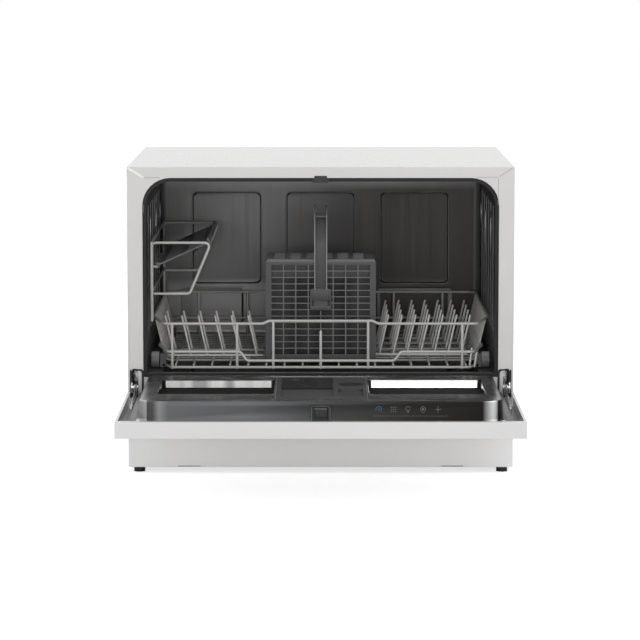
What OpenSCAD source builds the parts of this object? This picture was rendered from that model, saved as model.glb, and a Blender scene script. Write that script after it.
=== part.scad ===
// Countertop dishwasher, six place settings, door folded down, wire basket home in the tub.
// Millimetres. X right, Y back, Z up. Inside this file Y = 0 is the plane of the cabinet's
// front; place() moves everything so that the origin lies under the middle of the whole.

/* [Cabinet] */
// Width of the cabinet
cab_w = 550; // [500:1:600]
// Depth of the cabinet, front plane to back panel
cab_d = 480; // [460:1:520]
// Height of the top above the table
cab_h = 438; // [425:1:470]
// Height of the feet
foot_h = 8; // [6:1:20]
// Sheet thickness of wrap, frame, door and back
sheet_t = 1; // [0.8:0.1:1.5]
// Height of the front base panel
kick_h = 85.5; // [80:0.5:88]
// Visible height of the lintel above the opening
lintel_h = 15.5; // [12:0.5:20]
// Visible width of each front post
post_w = 22; // [18:0.5:26]
// Corner radius of the opening
open_r = 40; // [25:1:55]
// Wall thickness of the moulded base tray
tray_t = 3; // [2:0.5:4]
// Height of the base tray's walls
tray_h = 52; // [30:1:60]

/* [Tub] */
// Sheet thickness of the tub
tub_t = 1.2; // [0.8:0.1:1.5]
// Height of the wheel ledges above the table
ledge_z = 144; // [142:0.5:148]
// Width of each wheel ledge
ledge_w = 23; // [20:0.5:26]
// Depth of the lower pan under the ledges
pan_depth = 47; // [42:1:50]
// Depth of the pressed panels and ribs
emboss = 3; // [2:0.5:4]
// Width of the rubber seal band
seal_w = 5.4; // [4:0.1:7]

/* [Door] */
// How far the open door reaches in front of the cabinet
door_reach = 300; // [290:1:310]
// Thickness of the outer door pan
door_t = 22.5; // [20:0.5:26]
// Rise of the inner liner above the pan's rim
liner_rise = 26; // [20:0.5:27]
// Depth of the two recesses in the liner
recess_depth = 10; // [6:0.5:14]
// Radius of the hinge pins
hinge_pin_r = 4; // [3:0.5:5]
// Opening angle of the door
door_open_deg = 90; // [85:1:90]

/* [Basket] */
// Radius of the thick basket wires
wire_r = 2; // [1.5:0.1:2.5]
// Radius of the thin floor wires
thin_r = 1.5; // [1.2:0.1:1.8]
// Height of the top rail above the wheel ledge
rail_rise = 71; // [60:1:80]
// Radius of the basket wheels
wheel_r = 12; // [10:0.5:13]
// Width of the basket wheels
wheel_w = 12; // [9:0.5:13]
// Tines in each left row
tines_l = 6; // [4:1:7]
// Tines in each right row
tines_r = 7; // [5:1:8]
// Height of the tines
tine_h = 59; // [40:1:70]
// Lean of the tines from the vertical
tine_lean = 12.6; // [5:0.1:20]
// Rest angle of the cup shelf
shelf_deg = 24; // [15:1:30]
// Width of the cutlery basket
cutlery_w = 155; // [130:1:158]

/* [Wash parts] */
// Reach of each spray blade from its hub
arm_reach = 195; // [150:1:200]
// Radius of the spray arm spindle
spindle_r = 6; // [5:0.5:8]
// Radius of the filter cup
cup_r = 30; // [25:1:34]

/* [Fits] */
// Running fit of pins, buttons and caps, radial
fit = 0.05; // [0.02:0.01:0.1]
// Air between the door and the cabinet's front plane
door_gap = 2; // [1.5:0.1:3]
// Air beside set-in parts
inset = 0.3; // [0.2:0.05:0.5]

/* [Hidden] */
$fn = 48;
row_y = (cab_d - door_reach) / 2;
hw = cab_w / 2;
in_w = hw - sheet_t;
open_hw = hw - post_w;
open_top = cab_h - lintel_h;
kick_top = foot_h + kick_h;
frame_y = sheet_t;
frame_y1 = frame_y + 1.2;
seal_y = -1.6;
open_bot = ledge_z - 6;
tub_hw = open_hw - 4;
tub_top = open_top - 3.5;
low_hw = tub_hw - ledge_w;
floor_z = ledge_z - pan_depth;
tub_back = cab_d - 50;
tray_back = cab_d - 28;
hinge_y = door_gap + 1;
rim_z = ledge_z - liner_rise;
face_z = rim_z - door_t;
hinge_z = rim_z + hinge_y + door_gap;
liner_hw = open_hw - 8;
liner_top = ledge_z;
liner_r = open_r - 13;
liner_y0 = -door_reach + 12;
liner_y1 = -24;
flange_z = rim_z - sheet_t;
arm_x = open_hw + 9;
arm_t = 3.5;
bk_y0 = liner_top - hinge_z + hinge_y + 4;
bk_y1 = tub_back - 12;
bk_hw = tub_hw - 7;
low_rail_hw = bk_hw - 16;
low_rail_z = ledge_z + 5;
mid_rail_z = ledge_z + 28;
top_rail_z = ledge_z + rail_rise;
floor_wire_z = low_rail_z + wire_r + thin_r;
row_z = floor_wire_z + thin_r + 1.75;
axle_z = ledge_z + wheel_r;
wheel_x = bk_hw + wire_r - wheel_w / 2;
wheel_y = [bk_y0 + 30, bk_y1 - 68];
sump_c = [0, 130];
hub_c = [0, 222];
salt_c = [100 - hw, tray_back - 112];
float_c = [110, 120];
sump_r = 55;
shelf_x = -bk_hw + 6;
shelf_z = ledge_z + 148;
shelf_len = 84;
shelf_t = 2.5;
shelf_y = [bk_y0 + 34, bk_y1 - 52];
rack_y = [bk_y0 + 16, bk_y1 - 34];
rack_top = top_rail_z + 112;
disp_x = [-62, 64];
disp_y = [liner_y0 + 26, -42];
rinse_c = [42, disp_y[1] - 76];
bowl_y = [disp_y[1] - 104, disp_y[1] - 16];
latch_w = 24;
latch_z = [rim_z + 3, rim_z + 18];
cut_y = bk_y0 + 85;
cut_hd = 51;
cut_z0 = floor_wire_z + thin_r + inset;
cut_z1 = ledge_z + 168;
slot_h = (cut_z1 - cut_z0 - 18) / 4;
valve_c = [75 - hw, 40];
spigot_c = [-60, 32];
gland_c = [hw - 75, 40];
pump_z = 52;
pipe_y = tub_back - 130;
panel_y = [-door_reach + 8, -door_reach + 68];
panel_hw = hw - 20;
button_r = 8;
button_x = [70 - hw, 105 - hw, hw - 70];
steel = [0.78, 0.79, 0.8];
white = [0.9, 0.9, 0.89];
dark = [0.3, 0.3, 0.31];

// ---- helpers ----

// Moves a piece from the front-plane frame into the part's frame
module place() {
  translate([0, -row_y, 0]) children();
}

// A box from its lowest to its highest corner
module block(lo, hi) {
  translate(lo) cube(hi - lo);
}

// A rod along X, Y or Z from point p
module rod_x(p, len, r) {
  translate(p) rotate([0, 90, 0]) cylinder(r = r, h = len);
}
module rod_y(p, len, r) {
  translate(p) rotate([-90, 0, 0]) cylinder(r = r, h = len);
}
module rod_z(p, len, r) {
  translate(p) cylinder(r = r, h = len);
}

// A straight rod between two points
module rod(a, b, r) {
  v = b - a;
  translate(a)
    rotate([0, acos(v[2] / norm(v)), atan2(v[1], v[0])])
      cylinder(r = r, h = norm(v));
}

// Points of an arc in the plane
function arc(c, r, a0, a1, n = 8) =
  [for (i = [0 : n]) c + r * [cos(a0 + (a1 - a0) * i / n), sin(a0 + (a1 - a0) * i / n)]];

// A rectangle with rounded top and bottom corners
function rrect(x0, x1, y0, y1, rt, rb, n = 8) = concat(
  arc([x1 - rb, y0 + rb], rb, -90, 0, n),
  arc([x1 - rt, y1 - rt], rt, 0, 90, n),
  arc([x0 + rt, y1 - rt], rt, 90, 180, n),
  arc([x0 + rb, y0 + rb], rb, 180, 270, n));

// A profile in the XZ plane run along Y, a profile in XY run along Z, one in YZ along X
module along_y(y0, y1) {
  translate([0, y1, 0]) rotate([90, 0, 0]) linear_extrude(y1 - y0) children();
}
module along_z(z0, z1) {
  translate([0, 0, z0]) linear_extrude(z1 - z0) children();
}
module along_x(x0, x1) {
  translate([x0, 0, 0]) rotate([90, 0, 90]) linear_extrude(x1 - x0) children();
}

// A round wire or pipe swept through a list of points, mitred at each bend
function unit(v) = v / norm(v);
module tube(p, r, n = 10) {
  m = len(p);
  dirs = [for (i = [0 : m - 2]) unit(p[i + 1] - p[i])];
  tang = [for (i = [0 : m - 1]) i == 0 ? dirs[0] : i == m - 1 ? dirs[m - 2]
    : unit(dirs[i - 1] + dirs[i])];
  up = abs(dirs[0][2]) > 0.8 ? [0.13, 1, 0] : [0, 0.02, 1];
  u0 = unit(cross(dirs[0], up));
  side = carry(dirs, u0, 0, []);
  ring = [for (i = [0 : m - 1]) let (d = dirs[min(i, m - 2)], u = side[min(i, m - 2)],
      v = cross(d, u), t = tang[i])
    for (k = [0 : n - 1]) let (a = 360 * k / n, o = r * (u * cos(a) + v * sin(a)))
      p[i] + o - d * ((o * t) / (d * t))];
  sides = [for (i = [0 : m - 2]) for (k = [0 : n - 1]) let (k2 = (k + 1) % n)
    [i * n + k, (i + 1) * n + k, (i + 1) * n + k2, i * n + k2]];
  caps = [[for (k = [0 : n - 1]) k], [for (k = [n - 1 : -1 : 0]) (m - 1) * n + k]];
  polyhedron(ring, concat(sides, caps));
}
// A closed wire through a level ring of points, with no seam
module loop(p, r, n = 10) {
  m = len(p);
  dirs = [for (i = [0 : m - 1]) unit(p[(i + 1) % m] - p[i])];
  ring = [for (i = [0 : m - 1]) let (d = dirs[i], t = unit(dirs[(i + m - 1) % m] + d),
      u = unit(cross(d, [0, 0, 1])), v = cross(d, u))
    for (k = [0 : n - 1]) let (a = 360 * k / n, o = r * (u * cos(a) + v * sin(a)))
      p[i] + o - d * ((o * t) / (d * t))];
  polyhedron(ring, [for (i = [0 : m - 1]) for (k = [0 : n - 1])
    let (j = (i + 1) % m, k2 = (k + 1) % n) each [[i * n + k, j * n + k, j * n + k2], [i * n + k, j * n + k2, i * n + k2]]]);
}
// The sideways direction of each stretch, carried over the bends without twist
function carry(dirs, u, i, out) = i >= len(dirs) ? out
  : let (w = i == 0 ? u : turn(u, dirs[i - 1], dirs[i])) carry(dirs, w, i + 1, concat(out, [w]));
function turn(u, a, b) = let (k = cross(a, b), s = norm(k), c = a * b)
  s < 0.0001 ? u : let (q = k / s) u * c + cross(q, u) * s + q * (q * u) * (1 - c);

// ---- cabinet ----

module opening(grow = 0, bottom = open_bot) {
  polygon(rrect(-open_hw - grow, open_hw + grow, bottom, open_top + grow,
    open_r + grow, 2));
}

module hinge_slot(y0, y1) {
  for (s = [-1, 1]) mirror([s < 0 ? 1 : 0, 0, 0])
    along_y(y0, y1)
      polygon(rrect(arm_x - 1.8, arm_x + 10.2, hinge_z - 15, hinge_z + 27, 4, 1));
}

module outer_wrap() color(white) place() difference() {
  union() {
    for (s = [-1, 1]) mirror([s < 0 ? 1 : 0, 0, 0]) {
      block([in_w, frame_y1, foot_h], [hw, cab_d, cab_h]);
      block([in_w, 0, kick_top + 0.5], [hw, cab_d, cab_h]);
    }
    block([-hw, 0, cab_h - sheet_t], [hw, cab_d, cab_h]);
    block([-hw, 0, kick_top + 0.5], [hw, sheet_t, cab_h]);
  }
  along_y(-1, sheet_t + 1) opening(0, 20);
  hinge_slot(-1, sheet_t + 1);
  for (s = [-1, 1])
    translate([s * open_hw, 0, open_top])
      rotate([0, -s * atan(lintel_h / post_w), 0])
        block([s < 0 ? -60 : 0, -1, -0.25], [s < 0 ? 0 : 60, 0.5, 0.25]);
}

module front_frame() color(steel) place() difference() {
  block([-in_w, frame_y, kick_top + 0.5], [in_w, frame_y1, cab_h - sheet_t]);
  along_y(0, 4) opening();
  hinge_slot(0, 4);
  for (s = [-1, 1]) for (k = [0 : 2])
    rod_y([s * (open_hw + 12), 0, open_bot + 62 + k * (open_top - open_bot - 84.5) / 2], 4, 2.5);
}

module back_panel() color(white) place() difference() {
  block([-in_w, cab_d - sheet_t, foot_h + tray_h + 4], [in_w, cab_d, cab_h - sheet_t]);
  for (i = [-6 : 6]) for (k = [0 : 1])
    along_y(cab_d - 5, cab_d + 1)
      polygon(rrect(i * 34 - 12, i * 34 + 12, 90 + k * 16, 95 + k * 16, 2.4, 2.4, 2));
}

module base_tray() color(dark) place() difference() {
  union() {
    difference() {
      block([-in_w, 2, foot_h], [in_w, tray_back, foot_h + tray_h]);
      block([-in_w + tray_t, 2 + tray_t, foot_h + tray_t],
        [in_w - tray_t, tray_back - tray_t, foot_h + tray_h + 1]);
    }
    for (x = [-1, 1]) for (y = [1 : 4])
      block([x * 130 - 110, y * 90 - 2, foot_h + 1], [x * 130 + 110, y * 90, foot_h + tray_t + 2]);
  }
  rod_y([valve_c[0], tray_back - 10, valve_c[1]], 20, 14);
  rod_y([spigot_c[0], tray_back - 10, spigot_c[1]], 20, 10);
  rod_y([gland_c[0], tray_back - 10, gland_c[1]], 20, 9);
  for (s = [-1, 1]) for (y = [16, tray_back - 16])
    rod_z([s * (hw - 15), y, foot_h - 1], tray_t + 2, 3);
}

module kick_panel() color(white) place() difference() {
  block([-hw, 0, foot_h], [hw, 2, kick_top]);
  for (s = [-1, 1])
    block([s * 188 - 16, -1, foot_h - 1], [s * 188 + 16, 3, foot_h + 2.2]);
}

module feet() color(dark) place()
  for (s = [-1, 1]) for (y = [16, tray_back - 16]) {
    rod_z([s * (hw - 15), y, 0], foot_h, 8);
    rod_z([s * (hw - 15), y, foot_h - 0.1], tray_t + 6, 3 - fit);
  }

// ---- tub ----

module tub_upper(grow, y0, y1) {
  along_y(y0, y1)
    polygon(rrect(-tub_hw - grow, tub_hw + grow, ledge_z - grow, tub_top + grow,
      open_r - 3 + grow, 1));
}

module side_ribs(depth, grow) {
  for (s = [-1, 1]) for (i = [0 : 5])
    block([s > 0 ? tub_hw - 1 : -tub_hw - depth, 66 + i * 60 - grow, ledge_z + 50 - grow],
      [s > 0 ? tub_hw + depth : -tub_hw + 1, 90 + i * 60 + grow, tub_top - 42 + grow]);
}

module back_panels(depth, grow) {
  for (i = [-1 : 1])
    along_y(tub_back - 1, tub_back + depth)
      polygon(rrect(i * 146 - 53 - grow, i * 146 + 53 + grow,
        ledge_z + 84 - grow, tub_top - 49 + grow, 8, 8));
  for (i = [-1 : 1])
    block([i * 146 - 53 - grow, tub_back - 1, ledge_z + 8 - grow],
      [i * 146 + 53 + grow, tub_back + depth, ledge_z + 72 + grow]);
}

module tub() color([0.45, 0.46, 0.46]) place() difference() {
  union() {
    tub_upper(tub_t, frame_y1, tub_back + tub_t);
    along_y(10, tub_back - 2 + tub_t)
      polygon(rrect(-low_hw - tub_t, low_hw + tub_t, floor_z - tub_t, ledge_z, 1, 12));
    along_y(frame_y1, frame_y1 + tub_t) opening(3, open_bot - 2);
    side_ribs(emboss + tub_t, tub_t);
    back_panels(emboss + tub_t, tub_t);
  }
  tub_upper(0, 0, tub_back);
  along_y(10 + tub_t, tub_back - 2)
    polygon(rrect(-low_hw, low_hw, floor_z, ledge_z + 2, 1, 11));
  side_ribs(emboss, 0);
  back_panels(emboss, 0);
  rod_z([sump_c[0], sump_c[1], floor_z - 5], 10, sump_r - 3);
  rod_z([hub_c[0], hub_c[1], floor_z - 5], 10, 15);
  rod_z([salt_c[0], salt_c[1], floor_z - 5], 10, 30);
  rod_z([float_c[0], float_c[1], floor_z - 5], 10, 4 + fit);
  for (s = [-1, 1]) rod_z([s * 150, 70, floor_z - 5], 10, 4);
  for (s = [-1, 1]) for (i = [0 : 2])
    rod_x([s > 0 ? tub_hw - 2 : -tub_hw - 4, 48 + i * 5, tub_top - 22 - i * 9], 6, 2);
}

module tub_gasket() color([0.12, 0.12, 0.12]) place() difference() {
  along_y(seal_y, frame_y1) opening(-0.1, open_bot + 0.1);
  along_y(seal_y - 1, frame_y1 + 1)
    polygon(rrect(-open_hw + seal_w, open_hw - seal_w, ledge_z - 0.4, open_top - seal_w + 0.4,
      open_r - seal_w, 2));
  block([-11, seal_y - 1, open_top - 8], [11, frame_y1 + 1, open_top + 1]);
  along_y(seal_y - 1, 0) difference() {
    opening(1, open_bot - 1);
    polygon(rrect(-open_hw + 1.6, open_hw - 1.6, open_bot + 2, open_top - 1.6, open_r - 2, 2));
  }
}

module striker() color([0.1, 0.1, 0.1]) place() difference() {
  union() {
    block([-10.6, 0, tub_top - 3.2], [10.6, frame_y1, open_top - inset]);
    block([-10.6, 2, tub_top - 3.2], [10.6, 17, tub_top - 0.02]);
    along_y(-1.5, 0)
      polygon([[-10.6, tub_top - 3.2], [10.6, tub_top - 3.2], [8.6, open_top + 3], [-8.6, open_top + 3]]);
  }
  block([-9.4, hinge_y + latch_z[0] - hinge_z - 0.6, tub_top - 5],
    [9.4, hinge_y + latch_z[1] - hinge_z + 0.6, tub_top - 0.8]);
}

// ---- wash parts in and under the tub ----

module sump() color(dark) place() difference() {
  union() {
    rod_z([sump_c[0], sump_c[1], 26], floor_z - tub_t - 26, sump_r);
    rod_z([sump_c[0], sump_c[1], floor_z - tub_t - 5], 5, sump_r + 5);
    for (s = [-1, 1]) rod_x([s > 0 ? 40 : -60, sump_c[1], pump_z], 20, 13);
    for (a = [0 : 60 : 300])
      translate([sump_c[0], sump_c[1], 12]) rotate([0, 0, a]) block([28, -1.5, 0], [34, 1.5, 20]);
    rod_z([sump_c[0], sump_c[1], foot_h + tray_t], 20, 8);
  }
  rod_z([sump_c[0], sump_c[1], 29], floor_z, sump_r - 3);
  for (s = [-1, 1]) rod_x([s > 0 ? 30 : -61, sump_c[1], pump_z], 31, 10);
}

module flat_filter() color(steel) place() difference() {
  rod_z([sump_c[0], sump_c[1], floor_z], 1.5, sump_r + 5);
  rod_z([sump_c[0], sump_c[1], floor_z - 1], 4, cup_r + fit);
  for (a = [0 : 15 : 345]) for (k = [0 : 2])
    rod_z([sump_c[0] + (37 + k * 6.5) * cos(a + k * 5), sump_c[1] + (37 + k * 6.5) * sin(a + k * 5),
      floor_z - 1], 4, 1.6);
}

module filter_cup() color([0.62, 0.63, 0.64]) place()
  translate([sump_c[0], sump_c[1], 0]) difference() {
    union() {
      rod_z([0, 0, 40], floor_z + 1.5 - 40, cup_r);
      rod_z([0, 0, floor_z + 1.5], 1.5, cup_r + 4);
      for (s = [0, 90]) rotate([0, 0, s])
        block([-cup_r + 3, -2, floor_z + 2], [cup_r - 3, 2, floor_z + 9]);
    }
    difference() {
      rod_z([0, 0, 42], floor_z - 40, cup_r - 2);
      for (s = [0, 90]) rotate([0, 0, s])
        block([-cup_r, -2, floor_z - 6], [cup_r, 2, floor_z + 9]);
    }
    for (a = [0 : 30 : 330]) for (z = [50, 62, 74])
      rotate([0, 0, a]) rod_x([cup_r - 5, 0, z], 8, 3);
  }

module heater() color(steel) place() {
  tube(concat(
    [[-150, 70, floor_z - 12], [-150, 70, floor_z + 4], [-148, 74, floor_z + 7]],
    [for (a = [180 : -15 : 0]) [150 * cos(a), hub_c[1] + 150 * sin(a), floor_z + 7]],
    [[148, 74, floor_z + 7], [150, 70, floor_z + 4], [150, 70, floor_z - 12]]), 3.5, 8);
}

module arm_hub() color(dark) place() translate([hub_c[0], hub_c[1], 0]) difference() {
  union() {
    rod_z([0, 0, 60], floor_z + 15 - 60, 14);
    rod_z([0, 0, floor_z], 3, 24);
    rod_z([0, 0, floor_z + 14], 23, spindle_r);
    rod_z([0, 0, floor_z + 34.4], 3, spindle_r + 4);
    for (a = [0 : 60 : 300]) rotate([0, 0, a])
      block([12, -1, floor_z + 2], [23, 1, floor_z + 8]);
  }
  rod_z([0, 0, 59], floor_z + 12 - 59, 11);
}

module spray_arm() color(dark) place() translate([hub_c[0], hub_c[1], floor_z]) difference() {
  union() {
    rod_z([0, 0, 16.5], 17.5, 18);
    for (s = [0, 180]) rotate([0, 0, s])
      along_z(20, 30)
        polygon(concat([[0, -17]], arc([arm_reach - 11, 0], 11, -80, 80), [[0, 17]]));
  }
  rod_z([0, 0, 10], 30, spindle_r + fit);
  rod_z([0, 0, 15], 4, 16);
  for (s = [0, 180]) rotate([0, 0, s]) {
    block([20, -7, 22], [arm_reach - 14, 7, 28]);
    for (i = [1 : 5]) rod_z([i * 33, i % 2 ? 4 : -4, 25], 8, 1.8);
    rod_z([arm_reach - 24, 0, 15], 10, 2.2);
  }
}

module float_dome() color([0.85, 0.85, 0.83]) place() translate([float_c[0], float_c[1], floor_z])
  union() {
    rod_z([0, 0, -14], 15, 4);
    rotate_extrude() polygon(concat([[0, 0.5], [13, 0.5]], arc([6, 3], 7, 0, 90), [[0, 10]]));
  }

module wash_pump() color(dark) place() {
  rod_x([60, sump_c[1], pump_z], 28, 34);
  for (a = [0 : 45 : 315])
    translate([62, sump_c[1], pump_z]) rotate([a, 0, 0]) block([0, -2, 30], [24, 2, 36]);
}

module wash_motor() color(steel) place() difference() {
  union() {
    rod_x([88, sump_c[1], pump_z], 76, 29);
    for (i = [0 : 8]) rod_x([96 + i * 7, sump_c[1], pump_z], 2.5, 31);
  }
  for (a = [0 : 40 : 320])
    translate([160, sump_c[1], pump_z]) rotate([a, 0, 0]) block([0, -2, 8], [8, 2, 22]);
}

module drain_pump() color(dark) place() {
  rod_x([-78, sump_c[1], pump_z], 18, 24);
  rod_x([-122, sump_c[1], pump_z], 44, 18);
  rod_x([-126, sump_c[1], pump_z], 4, 20);
}

module softener() color([0.8, 0.8, 0.78]) place() difference() {
  union() {
    along_z(foot_h + tray_t + 2, floor_z - tub_t - 8)
      polygon(rrect(salt_c[0] - 47, salt_c[0] + 63, salt_c[1] - 64, salt_c[1] + 66, 12, 12));
    rod_z([salt_c[0], salt_c[1], floor_z - tub_t - 9], 9, 34);
    for (k = [-2 : 2])
      block([salt_c[0] + 61, salt_c[1] + k * 20, 20], [salt_c[0] + 66, salt_c[1] + k * 20 + 3, floor_z - 20]);
  }
  rod_z([salt_c[0], salt_c[1], 40], 60, 26);
}

module salt_cap() color([0.35, 0.36, 0.38]) place() translate([salt_c[0], salt_c[1], floor_z]) {
  rod_z([0, 0, -12], 12, 26 - fit);
  rod_z([0, 0, -tub_t], 8, 29);
  block([-22, -3, 6], [22, 3, 11]);
}

module inlet_valve() color([0.86, 0.86, 0.84]) place() difference() {
  union() {
    block([valve_c[0] - 20, tray_back - 37, valve_c[1] - 18],
      [valve_c[0] + 20, tray_back - tray_t, valve_c[1] + 18]);
    rod_y([valve_c[0], tray_back - 10, valve_c[1]], 11, 13.8);
    rod_y([valve_c[0], tray_back - 10, valve_c[1]], 35, 13.2);
    rod_z([valve_c[0], tray_back - 20, valve_c[1]], 26, 7);
  }
  rod_y([valve_c[0], tray_back - 6, valve_c[1]], 35, 9.5);
}

module air_break() color([0.9, 0.92, 0.92]) place() union() {
  along_x(-in_w, -in_w + 14)
    polygon(rrect(pipe_y - 104, pipe_y + 44, ledge_z + 8, tub_top - 20, 14, 14));
  for (k = [0 : 3])
    block([-in_w + 14, pipe_y - 90 + k * 34, ledge_z + 40], [-in_w + 15.5, pipe_y - 86 + k * 34, tub_top - 60]);
  rod_z([-in_w + 8, pipe_y, ledge_z - 4], 16, 5.5);
}

module drain_spigot() color(dark) place() difference() {
  union() {
    rod_y([spigot_c[0], tray_back - tray_t - 8, spigot_c[1]], 31, 9);
    rod_y([spigot_c[0], tray_back, spigot_c[1]], 2, 14);
    for (i = [0 : 2])
      translate([spigot_c[0], tray_back + 8 + i * 5, spigot_c[1]]) rotate([-90, 0, 0])
        cylinder(r1 = 10.4, r2 = 9, h = 4);
  }
  rod_y([spigot_c[0], tray_back - tray_t - 9, spigot_c[1]], 34, 6.5);
}

module cable_gland() color([0.1, 0.1, 0.1]) place() difference() {
  union() {
    rod_y([gland_c[0], tray_back - tray_t - 3, gland_c[1]], 20, 8.6);
    rod_y([gland_c[0], tray_back, gland_c[1]], 4, 13);
    rod_y([gland_c[0], tray_back - tray_t - 3, gland_c[1]], 3, 11.5);
  }
  rod_y([gland_c[0], tray_back - 20, gland_c[1]], 50, 3.8);
}

module inner_pipes() color([0.2, 0.2, 0.21]) place() {
  tube([[74, sump_c[1] + 36.3, pump_z], [74, sump_c[1] + 66, pump_z - 4], [62, hub_c[1], pump_z - 12],
    [12, hub_c[1], pump_z - 12], [0, hub_c[1], pump_z - 6], [0, hub_c[1], 59.7]], 10, 10);
  tube([[-90, sump_c[1] + 18.4, pump_z], [-90, sump_c[1] + 50, pump_z], [-84, hub_c[1] + 18, pump_z - 14],
    [spigot_c[0] - 6, tray_back - 72, spigot_c[1]], [spigot_c[0], tray_back - 50, spigot_c[1]],
    [spigot_c[0], tray_back - tray_t - 8.3, spigot_c[1]]], 7.5, 8);
  tube([[-in_w + 8, pipe_y, ledge_z - 4.2], [-in_w + 8, pipe_y, 110], [17 - hw, pipe_y + 30, 86],
    [39 - hw, tray_back - 52, 78], [valve_c[0] - 8, tray_back - 20, 76], [valve_c[0], tray_back - 20, 72],
    [valve_c[0], tray_back - 20, valve_c[1] + 26.3]], 5.5, 8);
}

module control_board() color([0.16, 0.3, 0.2]) place()
  translate([hw - 107, tray_back - 190, foot_h + tray_t]) union() {
    block([0, 0, 2], [84, 130, 4]);
    for (i = [0 : 3])
      block([6 + i * 19, 8, 4], [18 + i * 19, 28, 20]);
    rod_z([32, 68, 4], 24, 12);
    block([52, 44, 4], [78, 88, 26]);
    for (x = [6, 78]) for (y = [38, 124]) rod_z([x, y, 0], 2, 3);
  }

// ---- hinges ----

module hinge_bracket() {
  difference() {
    union() {
      block([arm_x + 6.4, frame_y1, hinge_z - 22], [arm_x + 8.2, 58, hinge_z + 46]);
      rod_x([arm_x + 6.4, hinge_y, hinge_z], 1.8, 9);
      rod_x([arm_x - 1.4, hinge_y, hinge_z], 9, hinge_pin_r);
      block([arm_x - 5, frame_y1, hinge_z + 29], [in_w, frame_y1 + 2, hinge_z + 46]);
      block([arm_x - 2, 30, hinge_z - 12], [arm_x + 7, 34, hinge_z + 20]);
      rod_z([arm_x + 1, 46, hinge_z - 14], 52, 6);
    }
    block([arm_x + 5, -20, hinge_z + 12], [arm_x + 9, frame_y1, hinge_z + 60]);
  }
}
module hinge_bracket_l() color(steel) place() mirror([1, 0, 0]) hinge_bracket();
module hinge_bracket_r() color(steel) place() hinge_bracket();

module hinge_arm() {
  difference() {
    union() {
      along_x(arm_x, arm_x + arm_t)
        polygon([[hinge_y, hinge_z - 8.8], [-20, face_z + 8], [-118, face_z + 3], [-118, face_z + 15],
          [-24, rim_z - 1], [-9, hinge_z + 5], [hinge_y, hinge_z + 8.8]]);
      rod_x([arm_x, hinge_y, hinge_z], arm_t, 9);
      block([arm_x - 8, -118, face_z + sheet_t], [arm_x + arm_t, -50, face_z + sheet_t + 3]);
    }
    rod_x([arm_x - 1, hinge_y, hinge_z], 8, hinge_pin_r + fit);
    for (y = [-105, -62]) rod_z([arm_x - 4, y, face_z], 8, 2);
  }
}
module hinge_arm_l() color(steel) place() mirror([1, 0, 0]) hinge_arm();
module hinge_arm_r() color(steel) place() hinge_arm();

// ---- door ----

module door_pan() color(white) place() difference() {
  union() {
    difference() {
      block([-hw, -door_reach, face_z], [hw, -5, rim_z]);
      block([-in_w, -door_reach + sheet_t, face_z + sheet_t], [in_w, -5 - sheet_t, rim_z + 1]);
    }
    block([-hw, -door_reach, flange_z], [hw, liner_y0 - 1, rim_z]);
    for (s = [-1, 1]) mirror([s < 0 ? 1 : 0, 0, 0])
      block([in_w - 3, -door_reach, flange_z], [hw, -8, rim_z]);
  }
  for (s = [-1, 1]) mirror([s < 0 ? 1 : 0, 0, 0])
    block([arm_x - 9, -7, face_z + sheet_t], [in_w, -4, rim_z + 1]);
  block([-panel_hw, panel_y[0], face_z - 1], [panel_hw, panel_y[1], face_z + 2]);
}

function liner_plan(grow) =
  rrect(-liner_hw - grow, liner_hw + grow, liner_y0 - grow, liner_y1 + grow, 14 + grow,
    liner_r + grow);

module recesses(grow, z0, z1) {
  for (x = [[disp_x[0] - 160, disp_x[0] - 2], [disp_x[1] + 2, disp_x[1] + 160]])
    along_z(z0, z1)
      polygon(rrect(x[0] - grow, x[1] + grow, disp_y[0] + 48 - grow, -75 + grow, 6 + grow, 6 + grow));
}

module door_liner() color([0.6, 0.61, 0.62]) place() difference() {
  union() {
    block([-liner_hw - 13, -door_reach + 2, flange_z - tub_t], [liner_hw + 13, -8, flange_z]);
    difference() {
      along_z(flange_z - tub_t, liner_top) polygon(liner_plan(0));
      along_z(flange_z - 10, liner_top - tub_t) polygon(liner_plan(-tub_t));
    }
    recesses(tub_t, liner_top - recess_depth - tub_t, liner_top - 0.5);
  }
  along_z(flange_z - 10, flange_z + 1) polygon(liner_plan(-tub_t));
  recesses(0, liner_top - recess_depth, liner_top + 1);
  block([disp_x[0], disp_y[0], liner_top - 6], [disp_x[1], disp_y[1], liner_top + 1]);
  block([-latch_w / 2, liner_y0 - 1, latch_z[0] - 2], [latch_w / 2, liner_y0 + 3, latch_z[1] + 2]);
}

module latch_housing() color([0.1, 0.1, 0.1]) place() difference() {
  union() {
    block([-latch_w / 2 + inset, liner_y0 + 0.4, latch_z[0] - 2 + inset],
      [latch_w / 2 - inset, liner_y0 + 2, latch_z[1] + 2 - inset]);
    block([-latch_w / 2 - 3, liner_y0 + tub_t, latch_z[0] - 5], [latch_w / 2 + 3, disp_y[0] - 1, latch_z[1] + 4]);
  }
  block([-9.2, liner_y0 - 1, latch_z[0]], [9.2, liner_y0 + 21, latch_z[1]]);
}

module latch_bolt() color(steel) place() union() {
  block([-9, liner_y0 + 3, latch_z[0] + 0.2], [9, liner_y0 + 14, latch_z[1] - 0.2]);
  block([-7, liner_y0 + 1, latch_z[0] + 4], [7, liner_y0 + 4, latch_z[1] - 3]);
}

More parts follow.
